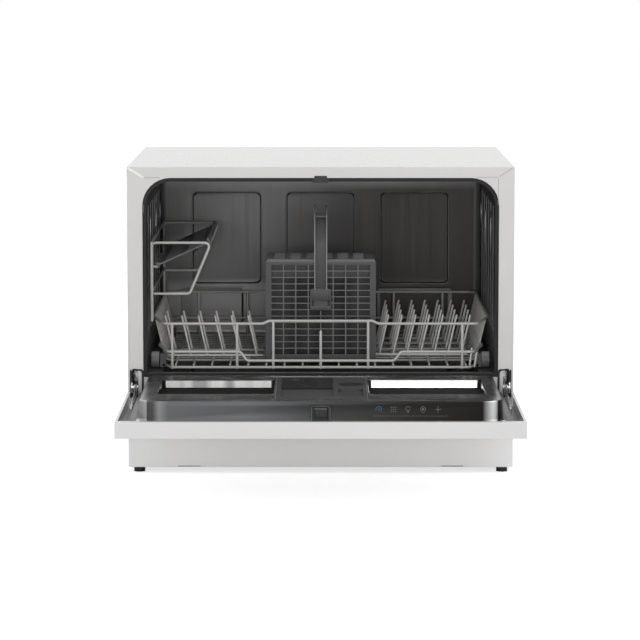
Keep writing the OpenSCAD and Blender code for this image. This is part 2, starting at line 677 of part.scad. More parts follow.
module dispenser_body() color(dark) place() difference() {
  union() {
    block([disp_x[0] + inset, disp_y[0] + inset, liner_top - 24], [disp_x[1] - inset, disp_y[1] - inset, liner_top]);
    for (x = [-40, 40])
      block([x - 2, disp_y[0] + 12, liner_top - 28], [x + 2, disp_y[1] - 18, liner_top - 23]);
  }
  block([-54, disp_y[0] + 24, liner_top - 2.2], [17, disp_y[1] - 8, liner_top + 1]);
  along_z(liner_top - 18, liner_top) polygon(rrect(-46, 8, bowl_y[0], bowl_y[1], 8, 8));
  rod_z([rinse_c[0], rinse_c[1], liner_top - 14], 20, 15 + fit);
  rod_z([rinse_c[0], rinse_c[1], liner_top - 3.2], 6, 18);
  along_z(liner_top - 4, liner_top + 1) polygon(rrect(24, 58, disp_y[0] + 26, rinse_c[1] - 42, 5, 5));
}

module dispenser_lid() color([0.36, 0.36, 0.38]) place() difference() {
  union() {
    along_z(liner_top - 2.1, liner_top - 0.2)
      polygon(rrect(-53.4, 16.4, bowl_y[0] - 6, bowl_y[1] + 7, 4, 4));
    for (i = [0 : 3])
      block([-30, bowl_y[0] + i * 5, liner_top - 0.3], [-6, bowl_y[0] + 2 + i * 5, liner_top + 0.6]);
  }
  rod_z([-36, bowl_y[1] - 16, liner_top - 4], 6, 7);
}

module lid_catch() color([0.7, 0.72, 0.74]) place() union() {
  rod_z([-36, bowl_y[1] - 16, liner_top - 2.1], 2.1, 6.8);
  rod_z([-36, bowl_y[1] - 16, liner_top - 0.1], 0.7, 5);
}

module rinse_cap() color([0.2, 0.2, 0.22]) place() translate([rinse_c[0], rinse_c[1], liner_top]) union() {
  rod_z([0, 0, -13], 10, 15);
  rod_z([0, 0, -3], 3, 17.5);
  block([-13, -2, -0.2], [13, 2, 0.6]);
}

module control_panel() color([0.86, 0.86, 0.85]) place() difference() {
  union() {
    block([-panel_hw + inset, panel_y[0] + inset, face_z], [panel_hw - inset, panel_y[1] - inset, face_z + 2]);
    along_z(face_z, face_z + 17) polygon(rrect(-74, 74, panel_y[0] + 8, panel_y[0] + 44, 8, 8));
    for (x = button_x) rod_z([x, panel_y[0] + 30, face_z], 7, button_r + 2);
    for (s = [-1, 1]) block([s * 130 - 3, panel_y[0] + 4, face_z + 1], [s * 130 + 3, panel_y[1] - 4, face_z + 6]);
  }
  along_z(face_z - 1, face_z + 15) polygon(rrect(-72, 72, panel_y[0] + 10, panel_y[0] + 42, 7, 7));
  for (x = button_x) rod_z([x, panel_y[0] + 30, face_z - 1], 9, button_r + fit);
  block([146, panel_y[0] + 16, face_z - 1], [188, panel_y[0] + 44, face_z + 1.2]);
}

module door_grip() color([0.55, 0.56, 0.57]) place() union() {
  rod_x([-69.4, panel_y[0] + 16, face_z + 4.5], 138.8, 4);
  for (x = [-70, 66]) block([x, panel_y[0] + 14, face_z + 4], [x + 4, panel_y[0] + 18, face_z + 14.9]);
}

module push_button(i) {
  rod_z([button_x[i], panel_y[0] + 30, face_z - 0.8], 9, button_r);
  rod_z([button_x[i], panel_y[0] + 30, face_z + 8], 2, button_r - 3);
}
module power_button() color([0.5, 0.5, 0.52]) place() push_button(0);
module program_button() color([0.5, 0.5, 0.52]) place() push_button(1);
module start_button() color([0.5, 0.5, 0.52]) place() push_button(2);

module display() color([0.05, 0.05, 0.06]) place()
  block([146 + inset, panel_y[0] + 16 + inset, face_z + 0.1], [188 - inset, panel_y[0] + 44 - inset, face_z + 1.2]);

// ---- basket ----

// The front stretch of a rail, with its step in the middle
function front_run(x, z, step, half) = [[-x, bk_y0, z], [-half - 8, bk_y0, z],
  [-half, bk_y0, z + step], [half, bk_y0, z + step], [half + 8, bk_y0, z], [x, bk_y0, z]];
module rail(x, xf, yf, z, step, half) {
  loop(concat(front_run(xf, z, step, half),
    [[x, yf, z], [x, bk_y1 - 12, z], [x - 12, bk_y1, z],
     [-x + 12, bk_y1, z], [-x, bk_y1 - 12, z], [-x, yf, z]]), wire_r);
}

module basket_frame() color([0.72, 0.72, 0.7]) place() union() {
  rail(low_rail_hw, low_rail_hw - 12, bk_y0 + 14, low_rail_z, 0, 60);
  rail(bk_hw - 9, bk_hw - 23, bk_y0 + 40, mid_rail_z, -13, 106);
  rail(bk_hw, bk_hw - 17, bk_y0 + 52, top_rail_z, 4, 74);
  for (x = [37 - bk_hw, -119, -67, 69, bk_hw - 41])
    rod([x, bk_y0, low_rail_z - 1], [x, bk_y0, top_rail_z + (abs(x) < 70 ? 4 : 0)], wire_r);
  rod([0, bk_y0, low_rail_z - 1], [0, bk_y0, top_rail_z + 4], wire_r);
  for (k = [-2.5 : 2.5])
    rod([k * (bk_hw - 52) / 2.5, bk_y1, low_rail_z - 1], [k * (bk_hw - 52) / 2.5, bk_y1, top_rail_z], wire_r);
  for (s = [-1, 1]) for (k = [0 : 5]) let (y = bk_y0 + 82 + k * (bk_y1 - bk_y0 - 110) / 5)
    rod([s * low_rail_hw, y, low_rail_z], [s * bk_hw, y, top_rail_z], wire_r);
}

module basket_floor() color([0.72, 0.72, 0.7]) place() union() {
  for (k = [-8 : 8]) let (y0 = bk_y0 + (k == 0 ? wire_r + 0.1 : -1))
    rod_y([k * (low_rail_hw - 18) / 8, y0, floor_wire_z], bk_y1 + 1 - y0, thin_r);
  for (k = [0 : 3])
    rod_x([12 - low_rail_hw, bk_y0 + 68 + k * (bk_y1 - bk_y0 - 110) / 3, floor_wire_z - 2.4],
      2 * low_rail_hw - 24, thin_r);
}

module tine_rows(x0, pitch, n, ys, lean) {
  for (y = ys) {
    rod_x([x0 - 8, y, row_z], pitch * (n - 1) + 16, 1.75);
    for (i = [0 : n - 1])
      translate([x0 + i * pitch, y, row_z]) rotate([0, lean, 0]) {
        cylinder(r = thin_r, h = tine_h);
        translate([0, 0, tine_h]) sphere(r = thin_r + 0.2);
      }
  }
}
module tines_left() color([0.72, 0.72, 0.7]) place()
  tine_rows(12 - low_rail_hw, 24.2, tines_l, [bk_y0 + 84, bk_y0 + 144], -tine_lean);
module tines_right() color([0.72, 0.72, 0.7]) place()
  tine_rows(low_rail_hw - 140, 20, tines_r, [for (k = [0 : 3]) bk_y0 + 94 + k * 65], tine_lean);

// Bracket wires beside the cup shelf, the shelf's hinge rod and its stop rod
function stop_pt(d, off) = [shelf_x + d * cos(shelf_deg) + off * sin(shelf_deg),
  shelf_z + d * sin(shelf_deg) - off * cos(shelf_deg)];

module side_rack() color([0.72, 0.72, 0.7]) place() union() {
  seat = top_rail_z + wire_r + 0.1;
  for (y = rack_y) {
    rod([-bk_hw, y, seat], [-bk_hw, y, rack_top], wire_r);
    tube([[-bk_hw, y, rack_top - 1], [-bk_hw + 78, y, rack_top - 1],
      [-bk_hw + 81, y, rack_top - 4], [-bk_hw + 60, y, top_rail_z + 44],
      [-bk_hw + 57, y, top_rail_z + 41.5], [-bk_hw, y, top_rail_z + 41.5]], wire_r);
    block([-bk_hw - 1, y - 1, shelf_z - 2], [shelf_x, y + 1, shelf_z + 2]);
  }
  for (y = [rack_y[0] - 14, rack_y[1] + 14]) rod([-bk_hw, y, seat], [-bk_hw, y, rack_top], wire_r);
  for (z = [rack_top, top_rail_z + 41])
    rod_y([-bk_hw, rack_y[0] - 14, z], rack_y[1] - rack_y[0] + 28, wire_r);
  rod_y([shelf_x, rack_y[0] - 1, shelf_z], rack_y[1] - rack_y[0] + 2, wire_r);
  p = stop_pt(60, shelf_t / 2 + wire_r + 0.4);
  rod_y([p[0], rack_y[0], p[1]], rack_y[1] - rack_y[0], wire_r);
  for (y = rack_y) rod([p[0], y, p[1]], [p[0], y, rack_top], thin_r);
}

module cup_shelf() color(dark) place() translate([shelf_x, 0, shelf_z]) rotate([0, -shelf_deg, 0])
  difference() {
    union() {
      block([3, shelf_y[0], -shelf_t / 2], [shelf_len, shelf_y[1], shelf_t / 2]);
      block([shelf_len - 3, shelf_y[0], -shelf_t / 2], [shelf_len, shelf_y[1], shelf_t / 2 + 5]);
      for (y = [shelf_y[0], (shelf_y[0] + shelf_y[1]) / 2 - 10, shelf_y[1] - 20]) {
        rod_y([0, y, 0], 20, 4.5);
        block([0, y, -shelf_t / 2], [6, y + 20, shelf_t / 2]);
      }
    }
    rod_y([0, shelf_y[0] - 10, 0], shelf_y[1] - shelf_y[0] + 20, wire_r + fit);
    for (y = [shelf_y[0] + 12 : 18 : shelf_y[1] - 20]) for (k = [0 : 1])
      along_z(-4, 4) polygon(rrect(12 + k * 34, 38 + k * 34, y, y + 9, 4, 4, 2));
  }

// Upright slots between the basket's bands, n beside each other in two facing walls
module wall_slots(n, pitch) {
  for (k = [0 : 3]) for (i = [0 : n - 1]) let (x = (i - (n - 1) / 2) * pitch, z = cut_z0 + 8 + k * slot_h)
    if (n < 5 || k < 3 || abs(x) > 1)
      block([x - pitch / 2 + 2.2, -90, z], [x + pitch / 2 - 2.2, 90, z + slot_h - 4]);
}
module cutlery_basket() color([0.3, 0.3, 0.31]) place() translate([0, cut_y, 0]) difference() {
  union() {
    along_z(cut_z0, cut_z1)
      polygon(rrect(-cutlery_w / 2, cutlery_w / 2, -cut_hd, cut_hd, 10, 10));
    along_z(cut_z1 - 6, cut_z1)
      polygon(rrect(-cutlery_w / 2 - 2, cutlery_w / 2 + 2, -cut_hd - 2, cut_hd + 2, 12, 12));
  }
  along_z(cut_z0 + 2, cut_z1 + 2)
    polygon(rrect(2 - cutlery_w / 2, cutlery_w / 2 - 2, 2 - cut_hd, cut_hd - 2, 8, 8));
  wall_slots(7, (cutlery_w - 18) / 7);
  rotate([0, 0, 90]) wall_slots(4, (2 * cut_hd - 18) / 4);
  for (x = [-1.5 : 1.5]) for (y = [-1, 1])
    block([x * cutlery_w / 4.4 - 14, y * 22 - 17, cut_z0 - 1], [x * cutlery_w / 4.4 + 14, y * 22 + 17, cut_z0 + 4]);
}

module cutlery_handle() color([0.27, 0.27, 0.28]) place() translate([0, cut_y, cut_z1]) union() {
  along_x(-10, 10) polygon(concat(
    [[-cut_hd - 4, -90], [-cut_hd - 0.1, -90], [-cut_hd - 0.1, -8], [-cut_hd - 2.2, -7],
     [-cut_hd - 2.2, 0.5], [0.5 - cut_hd, 1.5]],
    arc([0, 8], cut_hd - 1, 176, 4, 14),
    [[cut_hd - 0.5, 1.5], [cut_hd + 2.2, 0.5], [cut_hd + 2.2, -7], [cut_hd + 0.1, -8],
     [cut_hd + 0.1, -90], [cut_hd + 4, -90], [cut_hd + 4, 4]],
    arc([0, 8], cut_hd + 4, 0, 180, 16),
    [[-cut_hd - 4, 4]]));
  for (s = [-1, 1]) let (y = s * (cut_hd + 4)) block([-15, y - 1, -92], [15, y + 1, -78]);
}

module wheel_holders() color([0.3, 0.3, 0.31]) place()
  for (s = [-1, 1]) mirror([s < 0 ? 1 : 0, 0, 0]) for (y = wheel_y) difference() {
    union() {
      block([low_rail_hw - 8, y - 11, ledge_z + 2.5], [wheel_x - wheel_w / 2 - 0.6, y + 11, ledge_z + 22]);
      rod_x([wheel_x - wheel_w / 2 - 1, y, axle_z], wheel_w + 1.5, 3);
    }
    rod_y([low_rail_hw, y - 12, low_rail_z], 24, wire_r + 0.02);
    block([low_rail_hw - 9, y - 12, floor_wire_z - 6], [low_rail_hw - 3, y + 12, ledge_z + 30]);
    rod_x([low_rail_hw - 9, y, axle_z + 1], 8, 4);
  }

module basket_wheel(s, y) {
  difference() {
    union() {
      rod_x([s * wheel_x - wheel_w / 2, y, axle_z], wheel_w - 1, wheel_r - 0.3);
      rod_x([s * wheel_x - wheel_w / 2 + 3, y, axle_z], wheel_w - 7, wheel_r - inset / 2);
    }
    rod_x([s * wheel_x - wheel_w / 2 - 1, y, axle_z], wheel_w + 2, 3 + fit);
    for (a = [0 : 60 : 300])
      translate([s * wheel_x, y, axle_z]) rotate([a, 0, 0]) rod_x([-wheel_w, 0, 7], 2 * wheel_w, 1.8);
  }
}
module wheel_fl() color(dark) place() basket_wheel(-1, wheel_y[0]);
module wheel_fr() color(dark) place() basket_wheel(1, wheel_y[0]);
module wheel_bl() color(dark) place() basket_wheel(-1, wheel_y[1]);
module wheel_br() color(dark) place() basket_wheel(1, wheel_y[1]);

outer_wrap();
front_frame();
back_panel();
base_tray();
kick_panel();
feet();
tub();
tub_gasket();
striker();
sump();
flat_filter();
filter_cup();
heater();
arm_hub();
spray_arm();
float_dome();
wash_pump();
wash_motor();
drain_pump();
softener();
salt_cap();
inlet_valve();
air_break();
drain_spigot();
cable_gland();
inner_pipes();
control_board();
hinge_bracket_l();
hinge_bracket_r();
hinge_arm_l();
hinge_arm_r();
door_pan();
door_liner();
latch_housing();
latch_bolt();
dispenser_body();
dispenser_lid();
lid_catch();
rinse_cap();
control_panel();
door_grip();
power_button();
program_button();
start_button();
display();
basket_frame();
basket_floor();
tines_left();
tines_right();
side_rack();
cup_shelf();
cutlery_basket();
cutlery_handle();
wheel_holders();
wheel_fl();
wheel_fr();
wheel_bl();
wheel_br();
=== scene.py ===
# %% [markdown]
# # A countertop dishwasher with its door folded down
# The machine stands on a table and holds six place settings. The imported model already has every
# working piece in its right size and place, so this script only gives it its looks: the camera, the
# light, a finish for each piece, and the small visible details that carry no load.
# The first cell loads that model and keeps its box, so that the finished look can be compared with it.

# %% Load the frame
import math

import bmesh
import bpy
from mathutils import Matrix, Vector


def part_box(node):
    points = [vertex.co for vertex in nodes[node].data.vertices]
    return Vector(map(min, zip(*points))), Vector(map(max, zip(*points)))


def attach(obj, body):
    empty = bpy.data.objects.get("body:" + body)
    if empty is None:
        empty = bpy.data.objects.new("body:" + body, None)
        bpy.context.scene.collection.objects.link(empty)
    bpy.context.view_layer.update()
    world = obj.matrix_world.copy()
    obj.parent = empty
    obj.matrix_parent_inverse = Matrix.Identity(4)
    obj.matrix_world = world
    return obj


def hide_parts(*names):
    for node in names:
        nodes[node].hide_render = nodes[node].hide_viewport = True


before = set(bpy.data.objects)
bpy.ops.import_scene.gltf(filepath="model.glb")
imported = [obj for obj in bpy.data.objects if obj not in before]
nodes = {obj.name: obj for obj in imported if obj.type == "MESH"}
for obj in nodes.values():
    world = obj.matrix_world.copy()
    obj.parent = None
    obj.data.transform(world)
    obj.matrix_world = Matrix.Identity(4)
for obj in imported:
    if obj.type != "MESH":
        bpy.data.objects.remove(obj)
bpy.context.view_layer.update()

# %% [markdown]
# The photograph was taken from far away with a long lens, a little above the machine, so the sides
# hardly converge. Fitting the corners of the cabinet and of the open door gives the place of the
# camera, a pitch of 6.6 degrees and a lens of about 174 mm on a 36 mm sensor. The frame is square.

# %% Camera
sensor_mm, focal_px, picture_px = 36.0, 3086.3, 640.0
pitch_deg = 6.645
cam_data = bpy.data.cameras.new("Camera")
cam_data.sensor_width = sensor_mm
cam_data.lens = focal_px * sensor_mm / picture_px
cam_data.clip_end = 100.0
camera = bpy.data.objects.new("Camera", cam_data)
camera.location = (-0.001, -4.4548, 0.7285)
camera.rotation_euler = (math.radians(90.0 - pitch_deg), 0.0, 0.0)
bpy.context.scene.collection.objects.link(camera)
bpy.context.scene.camera = camera
print("lens", round(cam_data.lens, 1), "mm")

# %% [markdown]
# The world is white where the camera, a mirror or a glass looks at it, and a dim grey for everything
# that it only lights, so the background is white without flooding the enamel. Two plain backgrounds
# are mixed by the kind of ray that asks.

# %% White background
scene = bpy.context.scene
scene.view_settings.view_transform = "Standard"
world = bpy.data.worlds.new("Studio")
scene.world = world
world.use_nodes = True
sky = world.node_tree
sky.nodes.clear()


def sky_node(kind, *sources):
    """A node of the world with its first inputs joined to the given sources."""
    n = sky.nodes.new("ShaderNode" + kind)
    for socket, source in zip(n.inputs, sources):
        sky.links.new(source, socket)
    return n


def either(a, b):
    n = sky_node("Math", a, b)
    n.operation = "MAXIMUM"
    return n.outputs[0]


def plain(color, strength):
    n = sky_node("Background")
    n.inputs["Color"].default_value = (*color, 1.0)
    n.inputs["Strength"].default_value = strength
    return n.outputs[0]


ray = sky_node("LightPath").outputs
looking = either(either(ray["Is Camera Ray"], ray["Is Glossy Ray"]), ray["Is Transmission Ray"])
mixed = sky_node("MixShader", looking, plain((0.93, 0.96, 1.0), 0.56), plain((1.0, 1.0, 1.0), 1.0))
sky_node("OutputWorld", mixed.outputs[0])
print("world", len(sky.nodes), "nodes")

# %% [markdown]
# A catalogue picture is lit by large soft boxes. The key lamp stands in front on the right and a weak
# fill on the left, a broad lamp hangs over the machine and another one lights it from behind. Two low
# cards in front throw light into the open tub and along the door. The lower card is hidden from mirror
# rays, or it would lie on the steel as a bright stripe.

# %% Soft boxes
def soft_box(name, place, aim, size, watts):
    """One lamp that faces a point; size is its width and height."""
    lamp = bpy.data.lights.new(name, "AREA")
    lamp.shape = "RECTANGLE"
    lamp.size, lamp.size_y = size
    lamp.energy = watts
    lamp.color = (1.0, 0.985, 0.965)
    o = bpy.data.objects.new(name, lamp)
    o.location = place
    o.rotation_euler = (Vector(aim) - Vector(place)).to_track_quat("-Z", "Y").to_euler()
    scene.collection.objects.link(o)
    return o


soft_box("KeyLight", (1.0, -2.6, 1.7), (0, -0.1, 0.2), (1.8, 1.8), 3.6)
soft_box("FillLight", (-2.0, -1.8, 1.2), (0, 0, 0.2), (1.6, 1.6), 1.6)
soft_box("TopLight", (0.7, 0.2, 2.5), (0.1, 0.1, 0.3), (1.6, 1.6), 17.0)
soft_box("BackLight", (-1.2, 2.4, 1.8), (0, 0.2, 0.2), (1.4, 1.4), 12.0)
soft_box("LowCard", (0.1, -3.4, 0.55), (0, 0, 0.12), (2.2, 0.3), 12.0)
soft_box("FloorCard", (0.1, -3.2, 0.1), (0, -0.1, 0.06), (2.2, 0.16), 22.0).visible_glossy = False

# %% [markdown]
# Every finish below is made of shader nodes and no pictures. `Paper` is a small helper that keeps a
# material readable: it adds nodes by name and joins them in one call, and its short methods are the
# tricks that come back in many finishes. Coordinates are metres on the object itself, so the grain keeps
# its true size: 0.3 mm texture on moulded plastic, long hairlines on brushed steel, a ripple in enamel.

# %% Material helper
class Paper:
    """A node material under construction."""

    def __init__(self, name):
        self.mat = bpy.data.materials.new(name)
        self.mat.use_nodes = True
        self.t = self.mat.node_tree
        self.bsdf = self.t.nodes["Principled BSDF"]
        self.coord = self.t.nodes.new("ShaderNodeTexCoord").outputs["Object"]

    def node(self, kind, links=(), **values):
        """One shader node with its inputs linked and set; a leading _ sets a value of the node itself."""
        n = self.t.nodes.new("ShaderNode" + kind)
        for k, v in values.items():
            if k.startswith("_"):
                setattr(n, k[1:], v)
            else:
                n.inputs[k].default_value = v
        for socket, source in dict(links).items():
            self.t.links.new(source, n.inputs[socket])
        return n

    def place(self, axis):
        """How far a point lies along X, Y or Z (0, 1, 2) of its object."""
        return self.node("SeparateXYZ", {"Vector": self.coord}).outputs[axis]

    def facing(self, axis):
        """How much a face looks along X, Y or Z of its object."""
        normal = self.node("TexCoord").outputs["Normal"]
        return self.node("SeparateXYZ", {"Vector": normal}).outputs[axis]

    def both_ways(self, source):
        """The same value to the left and to the right."""
        return self.node("Math", {0: source}, _operation="ABSOLUTE").outputs[0]

    def noise(self, scale, detail=3.0, stretch=(1, 1, 1), rough=0.5):
        m = self.node("Mapping", {"Vector": self.coord}, Scale=stretch)
        n = self.node("TexNoise", {"Vector": m.outputs[0]}, Scale=scale, Detail=detail, Roughness=rough)
        return n.outputs["Fac"]

    def ramp(self, source, lo, hi, a, b):
        """A value that goes from a to b while the source goes from lo to hi."""
        r = self.node("MapRange", {"Value": source})
        for k, v in (("From Min", lo), ("From Max", hi), ("To Min", a), ("To Max", b)):
            r.inputs[k].default_value = v
        return r.outputs[0]

    def over(self, noise, a, b):
        """From a to b over the middle of the range, where a noise mostly lies."""
        return self.ramp(noise, 0.3, 0.7, a, b)

    def blend(self, fac, a, b):
        """Colour a where fac is 0 and b where it is 1; each is a code, three values or a socket."""
        m = self.node("Mix", {0: fac}, _data_type="RGBA")
        for i, c in ((6, a), (7, b)):
            c = rgb(c) if isinstance(c, str) else c
            if isinstance(c, tuple):
                m.inputs[i].default_value = (*c, 1.0)
            else:
                self.t.links.new(c, m.inputs[i])
        return m.outputs[2]

    def fade(self, source, lo, hi, a, b):
        """A colour that goes from a to b while the source goes from lo to hi."""
        return self.blend(self.ramp(source, lo, hi, 0, 1), a, b)

    def tinted(self, noise, code, spread):
        """One colour, a little darker and a little lighter with a noise."""
        darker, lighter = (shade(rgb(code), 1 + side * spread) for side in (-1, 1))
        return self.blend(self.over(noise, 0, 1), darker, lighter)

    def bands(self, source, lo, hi, stops):
        """A row of colours from lo to hi; each stop is a share of the way and a code."""
        r = self.node("ValToRGB", {"Fac": self.ramp(source, lo, hi, 0.0, 1.0)})
        row = r.color_ramp.elements
        while len(row) < len(stops):
            row.new(0.5)
        for e, (share, code) in zip(row, stops):
            e.position = share
            e.color = (*rgb(code), 1.0)
        return r.outputs[0]

    def bump(self, height, strength, distance):
        b = self.node("Bump", {"Height": height}, Strength=strength, Distance=distance)
        self.t.links.new(b.outputs[0], self.bsdf.inputs["Normal"])

    def brushed(self, lines, strength):
        """Hairlines: a noise drawn out along one direction, which also tilts the surface."""
        hair = self.noise(1.0, 4.0, lines, 0.6)
        self.bump(hair, strength, 0.0003)
        return hair

    def set(self, **values):
        """Sets inputs of the surface, each to a value, a code or a socket, and gives the material."""
        for k, v in values.items():
            v = rgb(v) if isinstance(v, str) else v
            socket = self.bsdf.inputs[k.replace("_", " ")]
            if isinstance(v, bpy.types.NodeSocket):
                self.t.links.new(v, socket)
            elif isinstance(v, tuple) and len(v) == 3:
                socket.default_value = (*v, 1.0)
            else:
                socket.default_value = v
        return self.mat


def rgb(code):
    """A colour written as the photograph shows it, turned into the linear values that shaders use."""
    v = [int(code[i:i + 2], 16) / 255 for i in (1, 3, 5)]
    return tuple(c / 12.92 if c <= 0.04045 else ((c + 0.055) / 1.055) ** 2.4 for c in v)


def shade(c, f):
    """A colour made darker or lighter by a factor."""
    return tuple(min(1.0, v * f) for v in c)


print("grey", [round(v, 3) for v in rgb("#808080")])

# %% [markdown]
# The cabinet and the outer door are white baked enamel on sheet steel: almost flat in colour, a low
# satin gloss, and an orange-peel ripple a few millimetres across that only shows in reflections.

# %% Enamel and plastics
def enamel(name, code, rough=0.3):
    """Baked enamel: nearly one colour, with a ripple under its gloss."""
    p = Paper(name)
    p.bump(p.noise(450.0, 2.0), 0.05, 0.0004)
    return p.set(Base_Color=p.tinted(p.noise(5.0, 2.0), code, 0.015),
                 Roughness=p.over(p.noise(300.0, 2.0), rough - 0.03, rough + 0.05),
                 Coat_Weight=0.25, Coat_Roughness=0.12)


def moulded(name, code, rough=0.45, grain=0.12, spread=0.08, **more):
    """Moulded plastic with a fine spark-eroded grain, slightly polished where it is handled."""
    p = Paper(name)
    cloud = p.noise(14.0, 4.0)
    p.bump(p.noise(2600.0, 2.0), grain, 0.0002)
    return p.set(Base_Color=p.tinted(cloud, code, spread),
                 Roughness=p.over(cloud, rough - 0.07, rough + 0.06), **more)


def top_lit_plastic(name, code, top, rough=0.4, grain=0.12):
    """Moulded plastic whose upward faces are painted paler, a painted light on the faces that look up."""
    p = Paper(name)
    cloud = p.noise(14.0, 4.0)
    p.bump(p.noise(2600.0, 2.0), grain, 0.0002)
    return p.set(Base_Color=p.fade(p.facing(2), 0.35, 0.85, p.tinted(cloud, code, 0.06), top),
                 Roughness=p.over(cloud, rough - 0.05, rough + 0.06))


# The cabinet, door and plinth share one enamel in three shades: the plinth's is painted much lighter, a
# painted light in the shadow of the open door, and the door's is a little lighter than the cabinet's.
WHITE = enamel("WhiteEnamel", "#D4D2D0")
DOOR_WHITE = enamel("DoorEnamel", "#D8D6D5")
PLINTH_PAINTED_LIGHT = enamel("PlinthEnamel", "#EEEDEC")
PANEL = moulded("PanelPlastic", "#D4D3D1", 0.35, 0.06, 0.02)
DARK = moulded("DarkPlastic", "#454345", 0.42, 0.14)
# The cup shelf's upward faces are painted paler, a painted light.
SHELF = top_lit_plastic("ShelfPlastic", "#676567", "#A3A1A3")
BLACK = moulded("BlackPlastic", "#161617", 0.45, 0.1)
GREY = moulded("GreyPlastic", "#808183", 0.35, 0.08)
PALE = moulded("PalePlastic", "#CFCFC8", 0.42, 0.08, 0.03)
RUBBER = moulded("SealRubber", "#171717", 0.7, 0.2)

# %% [markdown]
# Stainless steel is what most of the picture shows: the tub, the door liner, the filter and the
# hinges. Brushing leaves hairlines along one direction, so the noise is stretched a hundred times
# along X or Z. The lines change the roughness and tilt the surface a little, which smears every
# reflection across them. The tub is painted darker than the liner, a painted shade of its interior,
# because the photograph shows it so.

# %% Steel
def steel(name, code, rough, lines=(4, 500, 500), bump=0.05, spread=0.12):
    """Brushed steel; `lines` tells how fine the noise is along X, Y and Z."""
    p = Paper(name)
    hair = p.brushed(lines, bump)
    both = p.node("Math", {0: hair, 1: p.noise(6.0, 3.0)}, _operation="ADD").outputs[0]
    return p.set(Base_Color=p.tinted(hair, code, spread), Metallic=1.0,
                 Roughness=p.ramp(both, 0.7, 1.3, rough - 0.06, rough + 0.08))


# The tub's steel is painted darker, a painted shade of the deep interior.
TUB_PAINTED_SHADE = steel("TubSteel", "#727272", 0.42, (500, 500, 5), 0.012, 0.04)
LINER = steel("LinerSteel", "#969798", 0.24, (5, 500, 500))
HINGE = steel("HingeSteel", "#D2D4D5", 0.2, (60, 500, 500))
ZINC = steel("ZincSheet", "#B9BBBC", 0.4, (30, 30, 30), 0.02, 0.1)
MESH = steel("FilterSteel", "#9A9C9D", 0.3, (400, 400, 400))
MOTOR = enamel("MotorCase", "#6F7173", 0.4)

# %% [markdown]
# The basket wires are steel dipped in light grey nylon, which is smooth and softly shiny. The display
# is dark glass, the softener and the float are pale plastic, and the air break at the side of the tub is
# milky and lets a little light through.

# %% Coating, glass and board
def coated(name, code):
    """The nylon coat of a wire."""
    p = Paper(name)
    p.bump(p.noise(500.0, 2.0), 0.12, 0.0003)
    return p.set(Base_Color=p.tinted(p.noise(60.0, 3.0), code, 0.05), Roughness=0.33,
                 Coat_Weight=0.3, Coat_Roughness=0.2)


WIRE = coated("WireCoating", "#BDBCB8")
# The tines take a lighter copy of the same nylon coat, a painted light on wires that stand in the tub's
# shade.
TINE_PAINTED_LIGHT = coated("TineCoating", "#D6D5D1")

p = Paper("DisplayGlass")
GLASS = p.set(Base_Color="#0B0C0E", Roughness=p.over(p.noise(90.0), 0.04, 0.1), Coat_Weight=1.0)
p = Paper("MilkyPlastic")
MILKY = p.set(Base_Color=p.blend(p.noise(20.0), "#C4CCCC", "#DCE2E2"), Roughness=0.3,
              Subsurface_Weight=0.3)
p = Paper("CircuitBoard")
BOARD = p.set(Base_Color=p.fade(p.noise(220.0), 0.45, 0.55, "#173A26", "#22603A"), Roughness=0.4)
print("coatings", WIRE.name, TINE_PAINTED_LIGHT.name)

# %% [markdown]
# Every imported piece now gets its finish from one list, so that a look is changed in one place. A piece
# that is built again further down takes its finish there.

# %% A finish for each piece
finish = {
    "outer_wrap": WHITE, "kick_panel": PLINTH_PAINTED_LIGHT, "door_pan": DOOR_WHITE, "control_panel": PANEL,
    "front_frame": ZINC, "back_panel": ZINC, "base_tray": ZINC, "feet": BLACK,
    "tub": TUB_PAINTED_SHADE, "tub_gasket": RUBBER, "striker": BLACK, "sump": DARK, "flat_filter": MESH,
    "filter_cup": GREY, "heater": HINGE, "arm_hub": DARK, "spray_arm": DARK, "float_dome": PALE,
    "wash_pump": DARK, "wash_motor": MOTOR, "drain_pump": DARK, "softener": PALE, "salt_cap": GREY,
    "inlet_valve": PALE, "air_break": MILKY, "drain_spigot": DARK, "cable_gland": BLACK,
    "inner_pipes": RUBBER, "control_board": BOARD, "hinge_bracket_l": HINGE, "hinge_bracket_r": HINGE,
    "hinge_arm_l": HINGE, "hinge_arm_r": HINGE, "door_liner": LINER, "latch_housing": BLACK,
    "latch_bolt": BLACK, "dispenser_body": DARK, "dispenser_lid": BLACK, "lid_catch": DARK,
    "rinse_cap": BLACK, "door_grip": GREY, "power_button": GREY, "program_button": GREY,
    "start_button": GREY, "display": GLASS, "basket_frame": WIRE, "basket_floor": WIRE,
    "tines_left": WIRE, "tines_right": WIRE, "side_rack": WIRE, "cup_shelf": SHELF,
    "cutlery_basket": DARK, "cutlery_handle": DARK, "wheel_holders": DARK,
    "wheel_fl": SHELF, "wheel_fr": SHELF, "wheel_bl": DARK, "wheel_br": DARK,
}
for name, o in nodes.items():
    o.data.materials.clear()
    o.data.materials.append(finish[name])
print("finishes", len(set(finish.values())), "on", len(finish), "nodes")

# %% [markdown]
# Folded sheet and moulded plastic never end in a knife edge. Each carried-over piece gets a weld, a
# bevel of its own width and weighted normals as modifiers, so its mesh stays as it was packed. Sheet
# takes 0.3 to 0.4 mm and thick plastic up to 1.2 mm. The normals that came with a piece would draw its
# old sharp edges over the bevel, so they are taken off first.

# %% Softened edges
def round_edges(o, width, angle=35.0):
    """A bevel on every fold that is sharper than the angle, its width in millimetres."""
    bevel = o.modifiers.new("Bevel", "BEVEL")
    bevel.width = width / 1000
    bevel.segments = 2
    bevel.limit_method = "ANGLE"
    bevel.angle_limit = math.radians(angle)


def even_normals(o):
    o.modifiers.new("Weighted", "WEIGHTED_NORMAL").keep_sharp = False


